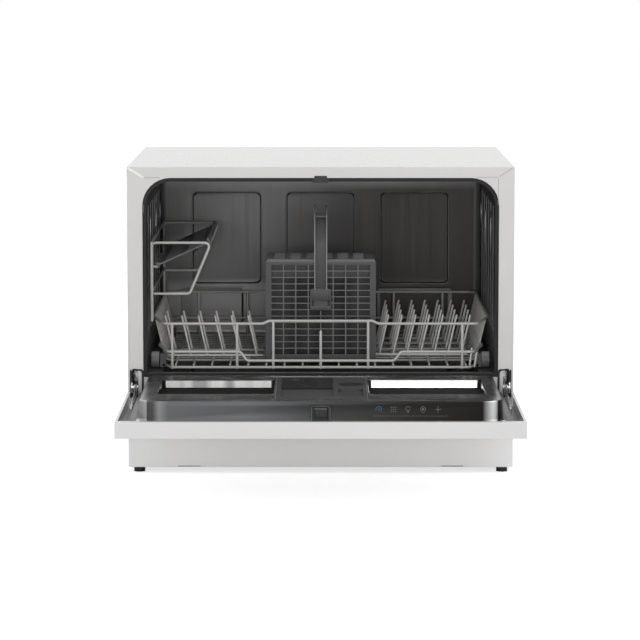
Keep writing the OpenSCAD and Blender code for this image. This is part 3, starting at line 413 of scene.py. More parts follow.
def soften(o, width):
    normals = o.data.attributes.get("custom_normal")
    if normals:
        o.data.attributes.remove(normals)
    for f in o.data.polygons:
        f.use_smooth = True
    o.modifiers.new("Weld", "WELD").merge_threshold = 0.00001
    round_edges(o, width)
    even_normals(o)


edge_mm = {
    0.2: ("control_board", "display"),
    0.3: ("front_frame", "back_panel", "rinse_cap", "lid_catch"),
    0.4: ("outer_wrap", "door_pan", "hinge_bracket_l", "hinge_bracket_r", "dispenser_lid",
          "control_panel", "cup_shelf", "latch_bolt", "filter_cup", "drain_spigot", "latch_housing"),
    0.5: ("striker", "hinge_arm_l", "hinge_arm_r", "arm_hub", "float_dome", "cable_gland",
          "power_button", "program_button", "start_button"),
    0.6: ("kick_panel", "dispenser_body", "door_grip", "salt_cap", "sump"),
    0.7: ("tub_gasket",),
    0.8: ("base_tray", "wheel_holders", "inlet_valve", "wash_pump", "wash_motor", "drain_pump"),
    1.0: ("feet", "air_break"),
    1.2: ("softener", "spray_arm"),
}
for width, names in edge_mm.items():
    for name in names:
        soften(nodes[name], width)
print("softened", sum(len(names) for names in edge_mm.values()), "pieces")

# %% [markdown]
# The rest of the visible shapes are built here in millimetres, in the maker's own frame: X to the
# right, Y to the back from the cabinet's front plane, Z up from the table. `at` turns such a point into
# the scene's metres, and `box_mm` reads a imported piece's box back in the maker's frame.

# %% Millimetre frame and piece maker
front_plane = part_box("outer_wrap")[0].y


def at(x, y, z):
    return Vector((x / 1000, front_plane + y / 1000, z / 1000))


def box_mm(node):
    """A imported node's box in the maker's frame."""
    lo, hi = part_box(node)
    return [(v.x * 1000, (v.y - front_plane) * 1000, v.z * 1000) for v in (lo, hi)]


def piece(name, bm, mats, body, flat=False, even=False):
    """Turns a bmesh into an object that rides on a body. Even normals keep large flats flat."""
    mesh = bpy.data.meshes.new(name)
    bmesh.ops.recalc_face_normals(bm, faces=bm.faces)
    bm.to_mesh(mesh)
    bm.free()
    for f in mesh.polygons:
        f.use_smooth = not flat
    o = bpy.data.objects.new(name, mesh)
    scene.collection.objects.link(o)
    for m in mats if isinstance(mats, (list, tuple)) else [mats]:
        mesh.materials.append(m)
    if even:
        even_normals(o)
    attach(o, body)
    return o


for name in ("tub", "door_liner"):
    print(name, [[round(v) for v in corner] for corner in box_mm(name)])

# %% [markdown]
# A dish basket is bent from round wire and spot-welded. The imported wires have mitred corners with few
# sides. Here each wire is a polyline whose corners are first replaced by arcs of a real bending radius,
# and a ring is then carried along it without twist. The ends are domed, as the nylon coat leaves them.

# %% Bent wire
def bend_corners(points, radius, closed=False, steps=6):
    """Rounds each corner of a polyline with an arc that starts and ends on its two sides."""
    pts = [Vector(p) for p in points]
    out = []
    n = len(pts)
    for i, p in enumerate(pts):
        if not closed and i in (0, n - 1):
            out.append(p)
            continue
        a, b = pts[i - 1] - p, pts[(i + 1) % n] - p
        turn = math.pi - a.angle(b)
        if turn < 0.05:
            out.append(p)
            continue
        cut = min(radius * math.tan(turn / 2), a.length * 0.48, b.length * 0.48)
        r = cut / math.tan(turn / 2)
        mid = (a.normalized() + b.normalized()).normalized()
        centre = p + mid * (r / math.cos(turn / 2))
        u = (p + a.normalized() * cut) - centre
        v = (p + b.normalized() * cut) - centre
        for k in range(steps + 1):
            t = k / steps
            w = u * math.sin((1 - t) * turn) + v * math.sin(t * turn)
            out.append(centre + w / math.sin(turn))
    return out


DOME = ((0.95, 0.25), (0.6, 0.8))


def wire(bm, points, radius, bend=8.0, closed=False, sides=12):
    """Sweeps a round wire along a polyline given in the maker's millimetres. DOME holds, in radii,
    how far past its end each ring of the domed end lies and how wide it is."""
    path = bend_corners(points, bend, closed)
    n = len(path)
    angles = [math.tau * k / sides for k in range(sides)]
    rings = []
    side = None
    for i, p in enumerate(path):
        back = path[i - 1] if (i or closed) else None
        ahead = path[(i + 1) % n] if (i < n - 1 or closed) else None
        d = ((ahead or p) - (back or p)).normalized()
        if side is None:
            side = d.orthogonal().normalized()
        side = (side - d * side.dot(d)).normalized()
        up = d.cross(side)
        spokes = [side * math.cos(a) + up * math.sin(a) for a in angles]
        stages = [(0.0, 1.0)]
        if not closed and i == 0:
            stages = [(-push, shrink) for push, shrink in DOME] + stages
        if not closed and i == n - 1:
            stages += reversed(DOME)
        for push, shrink in stages:
            c = p + d * push * radius
            rings.append([bm.verts.new(at(*(c + s * radius * shrink))) for s in spokes])
    for i in range(len(rings) if closed else len(rings) - 1):
        a, b = rings[i], rings[(i + 1) % len(rings)]
        shift = 0
        if closed and i == len(rings) - 1:
            shift = min(range(sides), key=lambda k: (a[0].co - b[k].co).length)
        for k in range(sides):
            bm.faces.new((a[k], b[(k + shift) % sides], b[(k + 1 + shift) % sides], a[(k + 1) % sides]))
    if not closed:
        bm.faces.new(rings[0])
        bm.faces.new(rings[-1])


low_z, mid_z, top_z = 148.5, 171.0, 211.5
low_x, mid_x, top_x = 226.0, 233.0, 242.0
side_lift = 4.0
front_y, back_y = 28.0, 418.0
thick, thin = 2.0, 1.5
print("wire", thick * 2, "and", thin * 2, "mm thick")

# %% [markdown]
# Three closed rails carry the basket. The top one stands 4 mm higher over the middle and at the
# corners, and dips in front of the two plate fields. The middle one drops by 13 mm in front of the
# cutlery basket. Their front corners are cut off at a slant, so that the basket clears the door seal.

# %% Basket rails and uprights
def rail(bm, x, slant, z, middle, half, lift):
    """One closed rail at x to each side, with its front corners cut off at a slant. Its front steps by
    `middle` over the width of two halves, and its sides and back stand `lift` higher."""
    run = [(x - slant * 0.33, 0), (half + 9, 0), (half, middle)]
    front = [(-u, front_y, z + v) for u, v in run] + [(u, front_y, z + v) for u, v in reversed(run)]
    side = [(x, front_y + slant), (x, back_y - 12), (x - 12, back_y)]
    rest = [(u, y, z + lift) for u, y in side] + [(-u, y, z + lift) for u, y in reversed(side)]
    wire(bm, front + rest, thick, 7.0, closed=True)


def upright(bm, x, y, top):
    wire(bm, [(x, y, low_z - 1), (x, y, top)], thick)


bm = bmesh.new()
rail(bm, low_x, 36, low_z, 0, 60, 0)
rail(bm, mid_x, 42, mid_z, -13, 106, side_lift)
rail(bm, top_x, 52, top_z, 4, 74, side_lift)
for x, step in ((-213, 0), (-120, 0), (-68, 4), (68, 4), (203, 0)):
    upright(bm, x, front_y, top_z + step)
upright(bm, 0, front_y, 200)
for k in range(6):
    upright(bm, -190 + 76 * k, back_y, top_z + side_lift)
rails = piece("basket_rails", bm, WIRE, "basket")
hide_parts("basket_frame")
print("rails", len(rails.data.polygons), "faces")

# %% [markdown]
# The floor is a grid. The long wires lie on the low rail. The cross wires run below them and bend up
# at both sides to the top rail, which is why the sides of the basket look like a dense fence when
# they are seen nearly edge on.

# %% Basket floor and sides
bm = bmesh.new()
floor_z = low_z + thick + thin
for k in range(-8, 9):
    y0 = front_y + (thick if k == 0 else -1)
    wire(bm, [(26 * k, y0, floor_z), (26 * k, back_y + 1, floor_z)], thin, sides=10)
for k in range(12):
    y = 96 + 27 * k
    half = [(top_x - 1, top_z + side_lift), (low_x - 1, floor_z - 2)]
    run = [(-x, y, z) for x, z in half] + [(x, y, z) for x, z in reversed(half)]
    wire(bm, run, thin, 9.0, sides=10)
grid = piece("basket_grid", bm, WIRE, "basket")
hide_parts("basket_floor")
print("grid", len(grid.data.polygons), "faces")

# %% [markdown]
# Plates stand between tines, single wires that lean outwards by 12.6 degrees. Each row is a wire along
# X with its tines welded on it. The left field has two rows of six and the right one four rows of seven.
# Short prongs beside the last row on the right keep a pan lid from sliding.

# %% Plate tines
tine_length, tine_r, row_r = 59, 1.55, 1.75


def tine_field(name, node, x0, pitch, count, rows, lean):
    """Rows of tines from x0 on that lean to the right by an angle."""
    bm = bmesh.new()
    z = floor_z + thin + row_r
    dx, dz = tine_length * math.sin(lean), tine_length * math.cos(lean)
    for y in rows:
        wire(bm, [(x0 - 8, y, z), (x0 + pitch * (count - 1) + 8, y, z)], row_r, sides=10)
        for i in range(count):
            x = x0 + pitch * i
            wire(bm, [(x, y, z), (x + dx, y, z + dz)], tine_r, sides=10)
    o = piece(name, bm, TINE_PAINTED_LIGHT, "basket")
    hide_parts(node)
    return o


lean = math.radians(12.6)
left_field = tine_field("plate_tines_left", "tines_left", -214, 24.2, 6, (112, 172), -lean)
right_field = tine_field("plate_tines_right", "tines_right", 86, 20, 7, (122, 187, 252, 317), lean)
bm = bmesh.new()
for x, h in ((214, 26), (221, 20)):
    wire(bm, [(x, front_y + 8, low_z), (x + 3, front_y + 8, low_z + h)], thin, sides=10)
for x, y, h in ((-50, 120, 26), (-60, 180, 22)):
    wire(bm, [(x, y, floor_z), (x - 6, y, floor_z + h)], thin, sides=10)
piece("short_prongs", bm, TINE_PAINTED_LIGHT, "basket")
print("tines", len(left_field.data.polygons) + len(right_field.data.polygons), "faces")

# %% [markdown]
# The rack over the left side is bent from one wire at each end: out along the top, down at a slant and
# back to the upright. It carries the hinge rod and the stop rod of the cup shelf, so both are placed
# by the shelf's own angle of 24 degrees.

# %% Side rack
rack_top, rack_low = 327.5, 253.0
rack_ends = (front_y + 16, back_y - 34)
post_ys = (rack_ends[0] - 14, rack_ends[1] + 14)
top_reach, low_reach = 85, 54
side_z = top_z + side_lift
bm = bmesh.new()
for y in rack_ends:
    wire(bm, [(-top_x, y, side_z), (-top_x, y, rack_top - 1), (-top_x + top_reach, y, rack_top - 1),
              (-top_x + low_reach, y, rack_low), (-top_x, y, rack_low)], thick, 6.0)
for y in post_ys:
    wire(bm, [(-top_x, y, side_z), (-top_x, y, rack_top)], thick)
for z in (rack_top, rack_low + 3):
    wire(bm, [(-top_x, y, z) for y in post_ys], thick)
hinge_x, hinge_z = -top_x + 6, 292.0
wire(bm, [(hinge_x, rack_ends[0] - 1, hinge_z), (hinge_x, rack_ends[1] + 1, hinge_z)], thick)
for y in rack_ends:
    wire(bm, [(-top_x, y, hinge_z), (hinge_x, y, hinge_z)], thick)
rack = piece("side_wires", bm, WIRE, "basket")
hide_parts("side_rack")
tilt = math.radians(24)
stop_out, stop_under = 60, 3.65
stop_x = hinge_x + stop_out * math.cos(tilt) + stop_under * math.sin(tilt)
stop_z = hinge_z + stop_out * math.sin(tilt) - stop_under * math.cos(tilt)
stop_ys = (rack_ends[0] + 2, rack_ends[1])
bm = bmesh.new()
wire(bm, [(stop_x, y, stop_z) for y in stop_ys], thick)
for y in stop_ys:
    wire(bm, [(stop_x, y, stop_z), (stop_x + 14, y, stop_z)], thin)
piece("stop_rod", bm, DARK, "basket")
print("rack", len(rack.data.polygons), "faces")

# %% [markdown]
# Pressed sheet metal is a flat with raised or sunken fields, and each field's edge is a rounded step.
# The maker here works with rings: the same rounded rectangle drawn again and again, a little larger or
# smaller and a little deeper, with quads between the rings. What is left between the rings is filled as
# one flat with holes.

# %% Pressed sheet
def rounded(x0, x1, y0, y1, low, high, marks=(), n=7):
    """A rounded rectangle, counter-clockwise from the lower right corner, with marks on its low edge."""
    pts = []
    for cx, cy, r, a0 in ((x1 - low, y0 + low, low, -90), (x1 - high, y1 - high, high, 0),
                          (x0 + high, y1 - high, high, 90), (x0 + low, y0 + low, low, 180)):
        for k in range(n + 1):
            a = math.radians(a0 + 90 * k / n)
            pts.append((cx + r * math.cos(a), cy + r * math.sin(a)))
    return pts + [(m, y0) for m in marks]


def round_step(a, b, flat_first, n=4):
    """Rings of a quarter bend between (grow, depth) a and b."""
    out = []
    for k in range(n + 1):
        t = math.radians(90 * k / n)
        u, v = (math.sin(t), 1 - math.cos(t)) if flat_first else (1 - math.cos(t), math.sin(t))
        out.append((a[0] + (b[0] - a[0]) * u, a[1] + (b[1] - a[1]) * v))
    return out


def skin(bm, rings, mat=0):
    """Quads between each ring and the next."""
    for a, b in zip(rings, rings[1:]):
        for k in range(len(a)):
            n = (k + 1) % len(a)
            bm.faces.new((a[k], a[n], b[n], b[k])).material_index = mat


def closed_skin(bm, rings, mat=0):
    """The same, with a face over the first ring and over the last."""
    skin(bm, rings, mat)
    bm.faces.new(rings[0])
    bm.faces.new(rings[-1])


def press(bm, rect, corners, steps, where, marks=(), mat=0):
    """Draws the rings of one field and the quads between them. Returns the first and last ring."""
    rings = []
    for grow, depth in steps:
        x0, x1, y0, y1 = rect[0] - grow, rect[1] + grow, rect[2] - grow, rect[3] + grow
        low, high = max(0.4, corners[0] + grow), max(0.4, corners[1] + grow)
        outline = rounded(x0, x1, y0, y1, low, high, marks)
        rings.append([bm.verts.new(where(x, y, depth)) for x, y in outline])
    skin(bm, rings, mat)
    return rings[0], rings[-1]


def flat_between(bm, loops, mat=0):
    """Fills the flat that lies between closed rings of vertices."""
    edges = []
    for ring in loops:
        for k in range(len(ring)):
            a, b = ring[k], ring[(k + 1) % len(ring)]
            edges.append(bm.edges.get((a, b)) or bm.edges.new((a, b)))
    made = bmesh.ops.triangle_fill(bm, use_beauty=True, edges=edges)["geom"]
    for f in made:
        if isinstance(f, bmesh.types.BMFace):
            f.material_index = mat


print("ring of", len(rounded(0, 9, 0, 9, 1, 1)), "points")

# %% [markdown]
# The back of the tub shows three tall pressed fields and three lower ones under them, with rounded
# edges 3 and 2 mm deep that catch the light as fine lines. The sheet rolls forward into the side walls
# and the ceiling with a 9 mm bend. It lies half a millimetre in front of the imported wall.

# %% Tub back
back_at = 430.0 - 0.5


def back_steel_painted_light():
    """Brushed along Z, with painted reflection and shade: lighter on the left, a painted lighter band at
    the top and at the foot on the left, and dull edges at the sides.
    """
    p = Paper("TubBackSteel")
    x, z = p.place(0), p.place(2)
    hair = p.brushed((500, 500, 5), 0.05)
    color = p.bands(x, -0.25, 0.25, (
        (0.0, "#525252"), (0.16, "#5B5B5B"), (0.38, "#595858"), (0.55, "#444343"),
        (0.7, "#373635"), (0.84, "#3A3938"), (1.0, "#42413F")))
    color = p.fade(z, 0.374, 0.392, color, "#6A6A6A")
    foot = p.fade(x, -0.02, 0.06, "#7A7979", "#3E3D3C")
    color = p.fade(z, 0.216, 0.236, foot, color)
    side = p.ramp(p.both_ways(x), 0.2375, 0.2405, 0, 1)
    return p.set(Base_Color=p.blend(side, color, "#5A5A59"), Metallic=p.ramp(side, 0, 1, 1, 0),
                 Roughness=p.over(hair, 0.3, 0.42))


def on_back(x, z, depth):
    return at(x, back_at + depth, z)


def soft_field(bm, rect, corner, depth, slope=3.2):
    """A sunken field with an S-shaped edge."""
    shares = [k / 6 for k in range(7)]
    steps = [(slope * (0.5 - t), depth * t * t * (3 - 2 * t)) for t in shares]
    first, last = press(bm, rect, (corner, corner), steps, on_back)
    flat_between(bm, [last])
    return first


bm = bmesh.new()
edge = (-248.4, 248.4, 145.0, 418.4)
inner = press(bm, edge, (1.0, 36.4), round_step((0, -9), (-9, 0), False, 6), on_back)[1]
fields = [soft_field(bm, (c - 53, c + 53, 228, 370), 9, 3.0) for c in (-146, 0, 146)]
low_spans = ((-217, -122), (-60, 55), (89, 205))
fields += [soft_field(bm, (x0, x1, 166, 219), 5, 2.0) for x0, x1 in low_spans]
flat_between(bm, [inner] + fields)
back_wall = piece("tub_back_wall", bm, back_steel_painted_light(), "cabinet", even=True)
print("back wall", len(back_wall.data.polygons), "faces")

# %% [markdown]
# The liner is one sheet, but its faces lie in very different light, and the photograph shows each of
# them in greys of its own. So the upright front, the tray walls, the tray floors and the flange get a
# steel each, with their reflections, highlights and shade painted into the colour by the place on the
# door.

# %% Door liner finishes
def wall_steel_painted_light():
    """The upright front of the liner: brushed steel whose painted reflection runs from mid grey to nearly
    black, with painted highlights at the corners.
    """
    p = Paper("LinerWallSteel")
    hair = p.brushed((5, 500, 500), 0.04)
    front = p.bands(p.place(0), -0.245, 0.245, (
        (0.0, "#8E8E8E"), (0.0245, "#B0B0B0"), (0.0276, "#2C2C2C"), (0.031, "#585858"),
        (0.041, "#505050"), (0.059, "#868687"), (0.085, "#66686A"), (0.3, "#66686A"),
        (0.5, "#4A4A4A"), (0.75, "#2E2D2C"), (0.942, "#232221"), (0.953, "#8A8A8A"),
        (0.97, "#E0E0E0"), (0.979, "#C8C8C8"), (0.984, "#161616"), (1.0, "#101010")))
    color = p.fade(p.place(1), front_plane - 0.268, front_plane - 0.258, front, "#4A4948")
    return p.set(Base_Color=color, Metallic=1.0, Roughness=p.over(hair, 0.48, 0.56))


def tray_steel_painted_light():
    """Far walls of the two trays, with painted reflections: bright on the right, greyer with soft upright
    shades on the left, and painted shade on the end walls.
    """
    p = Paper("TrayWallSteel")
    streak = p.noise(1.0, 2.0, (32, 1, 1), 0.5)
    left = p.fade(streak, 0.4, 0.56, "#505050", "#7A7B7B")
    color = p.fade(p.place(0), -0.01, 0.01, left, "#C8C8CA")
    color = p.fade(p.both_ways(p.facing(0)), 0.1, 0.35, color, "#242424")
    return p.set(Base_Color=color, Metallic=1.0, Roughness=p.over(streak, 0.16, 0.24))


def flange_steel_painted_shade():
    """The liner's foot: bright along the front, with painted shade at both sides, dull and darkest towards
    the front.
    """
    p = Paper("FlangeSteel")
    hair = p.brushed((5, 500, 500), 0.03)
    side = p.ramp(p.both_ways(p.place(0)), 0.2455, 0.248, 0, 1)
    painted_side_shade = p.fade(p.place(1), front_plane - 0.29, front_plane - 0.1, "#1C1B1A", "#4E4C4B")
    return p.set(Base_Color=p.blend(side, "#C6C6C6", painted_side_shade), Metallic=p.ramp(side, 0, 1, 1, 0),
                 Specular_IOR_Level=0.12, Roughness=p.over(hair, 0.3, 0.4))


# The tray floors are painted nearly black and matt, a painted shade in the sunken trays.
TRAY_FLOOR_PAINTED_SHADE = moulded("TrayFloorSteel", "#1D1D1C", 0.7, 0.1, Specular_IOR_Level=0.1)
liner_finishes = [LINER, wall_steel_painted_light(), tray_steel_painted_light(), TRAY_FLOOR_PAINTED_SHADE, flange_steel_painted_shade()]
wall_slot, tray_slot, pool_slot, flange_slot = 1, 2, 3, 4
print("liner finishes", len(liner_finishes))

# %% [markdown]
# The door liner is deep-drawn from one steel sheet: a flange on the pan, a raised field 27 mm high with
# a soft bend at the top, and two sunken trays for the plates' water. The front wall has the opening for
# the latch, which is cut out of the ring of quads. A solidify modifier gives the 0.8 mm of the sheet.

# %% Door liner
liner_x, liner_front, liner_back, liner_top, flange_z = 245.0, -288.0, -24.0, 144.0, 117.0
latch_x, latch_z0, latch_z1 = 12.0, 121.0, 137.5
tray_floor = 131.8


def in_latch(f):
    """Tells whether a face of the front wall lies in the opening for the latch."""
    c = f.calc_center_median()
    in_front = c.y < at(0, liner_front + 1, 0).y
    return in_front and abs(c.x) < 0.01 and latch_z0 < c.z * 1000 < latch_z1


def sheet(o, wall):
    """Gives an open surface a wall of so many millimetres."""
    solid = o.modifiers.new("Sheet", "SOLIDIFY")
    solid.thickness = wall / 1000
    solid.offset = -1.0


bm = bmesh.new()
levels = round_step((3, flange_z), (0, flange_z + 3), True) + [(0, latch_z0), (-0.6, latch_z1)]
levels += round_step((-0.8, liner_top - 2.4), (-3.2, liner_top), False, 6)
foot, crest = press(bm, (-liner_x, liner_x, liner_front, liner_back), (27, 14), levels, at,
                    marks=(-latch_x, latch_x), mat=wall_slot)
bmesh.ops.delete(bm, geom=[f for f in bm.faces if in_latch(f)], context="FACES_KEEP_BOUNDARY")
hem = [bm.verts.new(at(x, y, flange_z)) for x, y in rounded(-258, 258, -298, -8, 2, 2)]
flat_between(bm, [hem, foot], mat=flange_slot)
holes = []
wall_foot = (-0.3, tray_floor + 1.4)
down = round_step((1.5, liner_top), (0, liner_top - 1.5), True) + [wall_foot]
for x0, x1 in ((-222, -64), (66, 224)):
    tray = (x0, x1, -214, -75)
    holes.append(press(bm, tray, (6, 6), down, at, mat=tray_slot)[0])
    turn_in = round_step(wall_foot, (-1.7, tray_floor), False)
    floor_ring = press(bm, tray, (6, 6), turn_in, at, mat=pool_slot)[1]
    flat_between(bm, [floor_ring], mat=pool_slot)
bmesh.ops.remove_doubles(bm, verts=bm.verts, dist=0.00001)
bm.verts.ensure_lookup_table()
slot = press(bm, (-62, 64, -262, -42), (1, 1), [(0.0, liner_top), (0.0, liner_top - 4)], at)[0]
crest = [v for v in crest if v.is_valid]
holes = [[v for v in ring if v.is_valid] for ring in holes]
flat_between(bm, [crest, slot] + holes)
liner = piece("pressed_liner", bm, liner_finishes, "door")
sheet(liner, 0.8)
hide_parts("door_liner")
print("liner", len(liner.data.polygons), "faces")

# %% [markdown]
# The cutlery basket is one moulding: fine ribs inside a plain border, so that the spray gets through.
# A lattice is easiest as a flat grid of quads with every second cell left out in both directions. The
# five walls share their corner points, a solidify modifier makes them 1.6 mm thick, and the rim is a
# stack of rings that rolls inward. The back wall keeps its upper cells closed.

# %% Cutlery basket
RIBS = moulded("LatticeRibs", "#6C6B6B", 0.4, 0.05, 0.05)
cut_lo, cut_hi = box_mm("cutlery_basket")


def spans(lo, hi, first, last, count, bar):
    """Places along a wall: border, then holes and ribs in turn, then border."""
    pitch = (hi - last - lo - first + bar) / count
    out = [lo]
    for i in range(count):
        out += [lo + first + i * pitch, lo + first + (i + 1) * pitch - bar]
    return out + [hi]


def lattice(bm, us, vs, where, closed=()):
    """A wall with a hole wherever a gap in one direction crosses a gap in the other."""
    grid = [[bm.verts.new(where(u, v)) for v in vs] for u in us]
    for i in range(len(us) - 1):
        for j in range(len(vs) - 1):
            if i % 2 and j % 2 and j not in closed:
                continue
            f = bm.faces.new((grid[i][j], grid[i + 1][j], grid[i + 1][j + 1], grid[i][j + 1]))
            rib = 0 < i < len(us) - 2 and 0 < j < len(vs) - 2 and j not in closed
            f.material_index = 1 if rib else 0


rim_z = cut_hi[2] - 11.0
rim_drop = 4.0
xs = spans(cut_lo[0], cut_hi[0], 8.5, 8.5, 8, 1.3)
ys = spans(cut_lo[1], cut_hi[1], 8.5, 8.5, 5, 1.3)
zs = spans(cut_lo[2], rim_z - rim_drop, 9.0, 4.2, 14, 1.2)
top_rows = range(len(zs) - 8, len(zs))
bm = bmesh.new()
lattice(bm, xs, zs, lambda u, v: at(u, cut_lo[1], v))
lattice(bm, xs, zs, lambda u, v: at(u, cut_hi[1], v), closed=top_rows)
lattice(bm, ys, zs, lambda u, v: at(cut_lo[0], u, v))
lattice(bm, ys, zs, lambda u, v: at(cut_hi[0], u, v))
lattice(bm, xs, ys, lambda u, v: at(u, v, cut_lo[2]))
bmesh.ops.remove_doubles(bm, verts=bm.verts, dist=0.00001)
net = piece("cutlery_lattice", bm, [DARK, RIBS], "cutlery", flat=True)
sheet(net, 1.6)
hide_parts("cutlery_basket")
print("lattice", len(net.data.polygons), "faces")

# %% [markdown]
# Inside, four thin boards part the basket into compartments, and a fifth one stands near the front just
# under the rim. Each board is a plate between two points of the plan whose top edge is rounded.

# %% Cutlery dividers
DEEP = moulded("DividerPlastic", "#393839", 0.5, 0.1)
bm = bmesh.new()
mid_y = (cut_lo[1] + cut_hi[1]) / 2


def board(bm, a, b, z0, z1, thick):
    """An upright plate between two points of the plan, with a rounded top edge."""
    a, b = Vector(a), Vector(b)
    side = (b - a).normalized().orthogonal() * thick / 2
    rings = []
    for z, k in ((z0, 1.0), (z1 - thick * 0.5, 1.0), (z1 - thick * 0.15, 0.75), (z1, 0.35)):
        plan = (a + side * k, b + side * k, b - side * k, a - side * k)
        rings.append([bm.verts.new(at(p.x, p.y, z)) for p in plan])
    closed_skin(bm, rings)


board(bm, (cut_lo[0] + 2, mid_y), (cut_hi[0] - 2, mid_y), cut_lo[2] + 1.5, rim_z - 14, 1.6)
for x in (-37, 0, 37):
    board(bm, (x, cut_lo[1] + 2), (x, cut_hi[1] - 2), cut_lo[2] + 1.5, rim_z - 16, 1.6)
board(bm, (cut_lo[0] + 4, cut_lo[1] + 9), (cut_hi[0] - 4, cut_lo[1] + 9), rim_z - 28, rim_z - 2.5, 1.4)
piece("cutlery_dividers", bm, DEEP, "cutlery", flat=True)
print("dividers up to", round(rim_z - 14), "mm")

# %% [markdown]
# The rim is a smooth roll round the top that turns inward into a lid with three rows of six cells. A
# cell is a shallow ring of its own paler grey, open below, so the cutlery would pass through it. Round
# posts stand in the four corners.

# %% Cutlery basket rim
# The rim's upward faces are painted paler, a painted light.
RIM = top_lit_plastic("RimPlastic", "#5C5B5B", "#959494", 0.36, 0.05)
CELL = moulded("CellPlastic", "#6E6D6D", 0.4, 0.05)


def around(x, y, half_x, half_y):
    return (x - half_x, x + half_x, y - half_y, y + half_y)


bm = bmesh.new()
steps = [(-1.0, rim_z - rim_drop - 1), (0.0, rim_z - rim_drop)]
steps += round_step((0.0, rim_z - rim_drop), (-3.6, rim_z), False, 7) + [(-6.0, rim_z)]
lid_edge = press(bm, (cut_lo[0], cut_hi[0], cut_lo[1], cut_hi[1]), (3.5, 3.5), steps, at)[1]
cells = []
for i in range(6):
    for j in range(3):
        cell = around(cut_lo[0] + 20 + 23 * i, cut_lo[1] + 22 + 29 * j, 9.4, 12.4)
        well = [(0, rim_z), (-0.4, rim_z - 3.2)]
        cells.append(press(bm, cell, (2.5, 2.5), well, at, mat=1)[0])
flat_between(bm, [lid_edge] + cells)
for x in (cut_lo[0] + 1.6, cut_hi[0] - 1.6):
    for y in (cut_lo[1] + 1.6, cut_hi[1] - 1.6):
        wire(bm, [(x, y, cut_lo[2] + 1), (x, y, rim_z - rim_drop)], 1.6, sides=12)
piece("cutlery_rim", bm, [RIM, CELL], "cutlery", flat=True)
print("rim at", round(rim_z), "mm")

# %% [markdown]
# The handle arches over the basket. Each leg is a strap between two side ribs that ends at a cross bar,
# and over the top only the ribs go on, so they stand up as two thin hoops. Each leg has a broad foot
# with two slots that clip on the lattice. All profiles are plain curves in the side view, and one helper
# skins them.

# %% Carrying handle
leg = (cut_hi[1] - cut_lo[1]) / 2
arch_z = cut_hi[2] + 8
rise = box_mm("cutlery_handle")[1][2] - arch_z
foot_z = 232.0
strap_x, rib, strap_points = 7.6, 1.8, 11


def arch(a, b, n=24):
    """Side profile from the foot of one leg over the top to the other foot: half an ellipse."""
    angles = [math.pi * k / n for k in range(n + 1)]
    run = [(mid_y - a * math.cos(t), arch_z + b * math.sin(t)) for t in angles]
    return [(mid_y - a, foot_z)] + run + [(mid_y + a, foot_z)]


def strap(bm, x0, x1, outer, inner, mat=0):
    """A band from x0 to x1 between two profiles."""
    rings = []
    for o, i in zip(outer, inner):
        rings.append([bm.verts.new(at(x, *p)) for x, p in ((x0, o), (x1, o), (x1, i), (x0, i))])
    closed_skin(bm, rings, mat)


bm = bmesh.new()
inner = arch(leg + 0.2, 40.0)
crown = arch(leg + 2.4, 43.0)
strap(bm, -strap_x, strap_x, crown[:strap_points], inner[:strap_points])
strap(bm, -strap_x, strap_x, crown[-strap_points:], inner[-strap_points:])
for x in (-strap_x - rib, strap_x):
    strap(bm, x, x + rib, arch(leg + 3.9, rise), inner, 2)
for s in (-1, 1):
    y = mid_y + s * (leg + 1.4)
    face = lambda u, v, d: at(u, y + s * d, v)
    plate = [(0, -1.2), (0, 1.6)] + round_step((0, 1.6), (-1.0, 2.6), False, 3)
    first, last = press(bm, (-15.5, 15.5, foot_z - 5, foot_z + 26.5), (3, 3), plate, face)
    rings = []
    for c in (-11.0, 11.0):
        slot = (c - 2.0, c + 2.0, foot_z + 1, foot_z + 10)
        lip, low = press(bm, slot, (1.9, 1.9), [(0, 2.6), (-0.3, 0.6)], face)
        # The floor of each slot is black, a painted shadow in the shallow slot.
        flat_between(bm, [low], mat=1)
        rings.append(lip)
    flat_between(bm, [last] + rings)
    flat_between(bm, [first])
# The handle's upward faces are painted paler, and its side ribs and cross bars take a lighter copy of its
# plastic, both a painted light.
HANDLE = top_lit_plastic("HandlePlastic", "#403E3F", "#6E6D6E", 0.38, 0.08)
RIBS_PAINTED_LIGHT = top_lit_plastic("HandleRibs", "#848384", "#9E9D9E", 0.38, 0.08)
grip = piece("carry_handle", bm, [HANDLE, BLACK, RIBS_PAINTED_LIGHT], "cutlery")
round_edges(grip, 0.5, 30.0)
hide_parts("cutlery_handle")
bm = bmesh.new()
for s in (-1, 1):
    wire(bm, [(x, mid_y + s * 20.5, arch_z + 39.5) for x in (-8.5, 8.5)], 1.7, sides=10)
piece("handle_bars", bm, RIBS_PAINTED_LIGHT, "cutlery")
print("handle rises", round(rise), "mm over", round(arch_z))

# %% [markdown]
# Small marks on flat faces are low islands with rounded ends. One helper stacks shrinking outlines of a
# capsule, which serves for the raised strip over the left corner joint, painted lighter as a highlight,
# for the fine seams of the frame and later for the lamps on the control strip.

# %% Corner strip and seams
SEAM = enamel("SeamShadow", "#A3A19F", 0.4)
# The corner strip is painted lighter than the enamel, a painted highlight on the corner joint.
CORNER_HIGHLIGHT = enamel("CornerStrip", "#EFEEEC", 0.25)


def capsule(a, b, r, n=6):
    """Outline of a bar with round ends, in the flat of the front."""
    turn = math.atan2(b[1] - a[1], b[0] - a[0])
    out = []
    for c, t0 in ((b, turn - math.pi / 2), (a, turn + math.pi / 2)):
        for k in range(n + 1):
            t = t0 + math.pi * k / n
            out.append((c[0] + r * math.cos(t), c[1] + r * math.sin(t)))
    return out


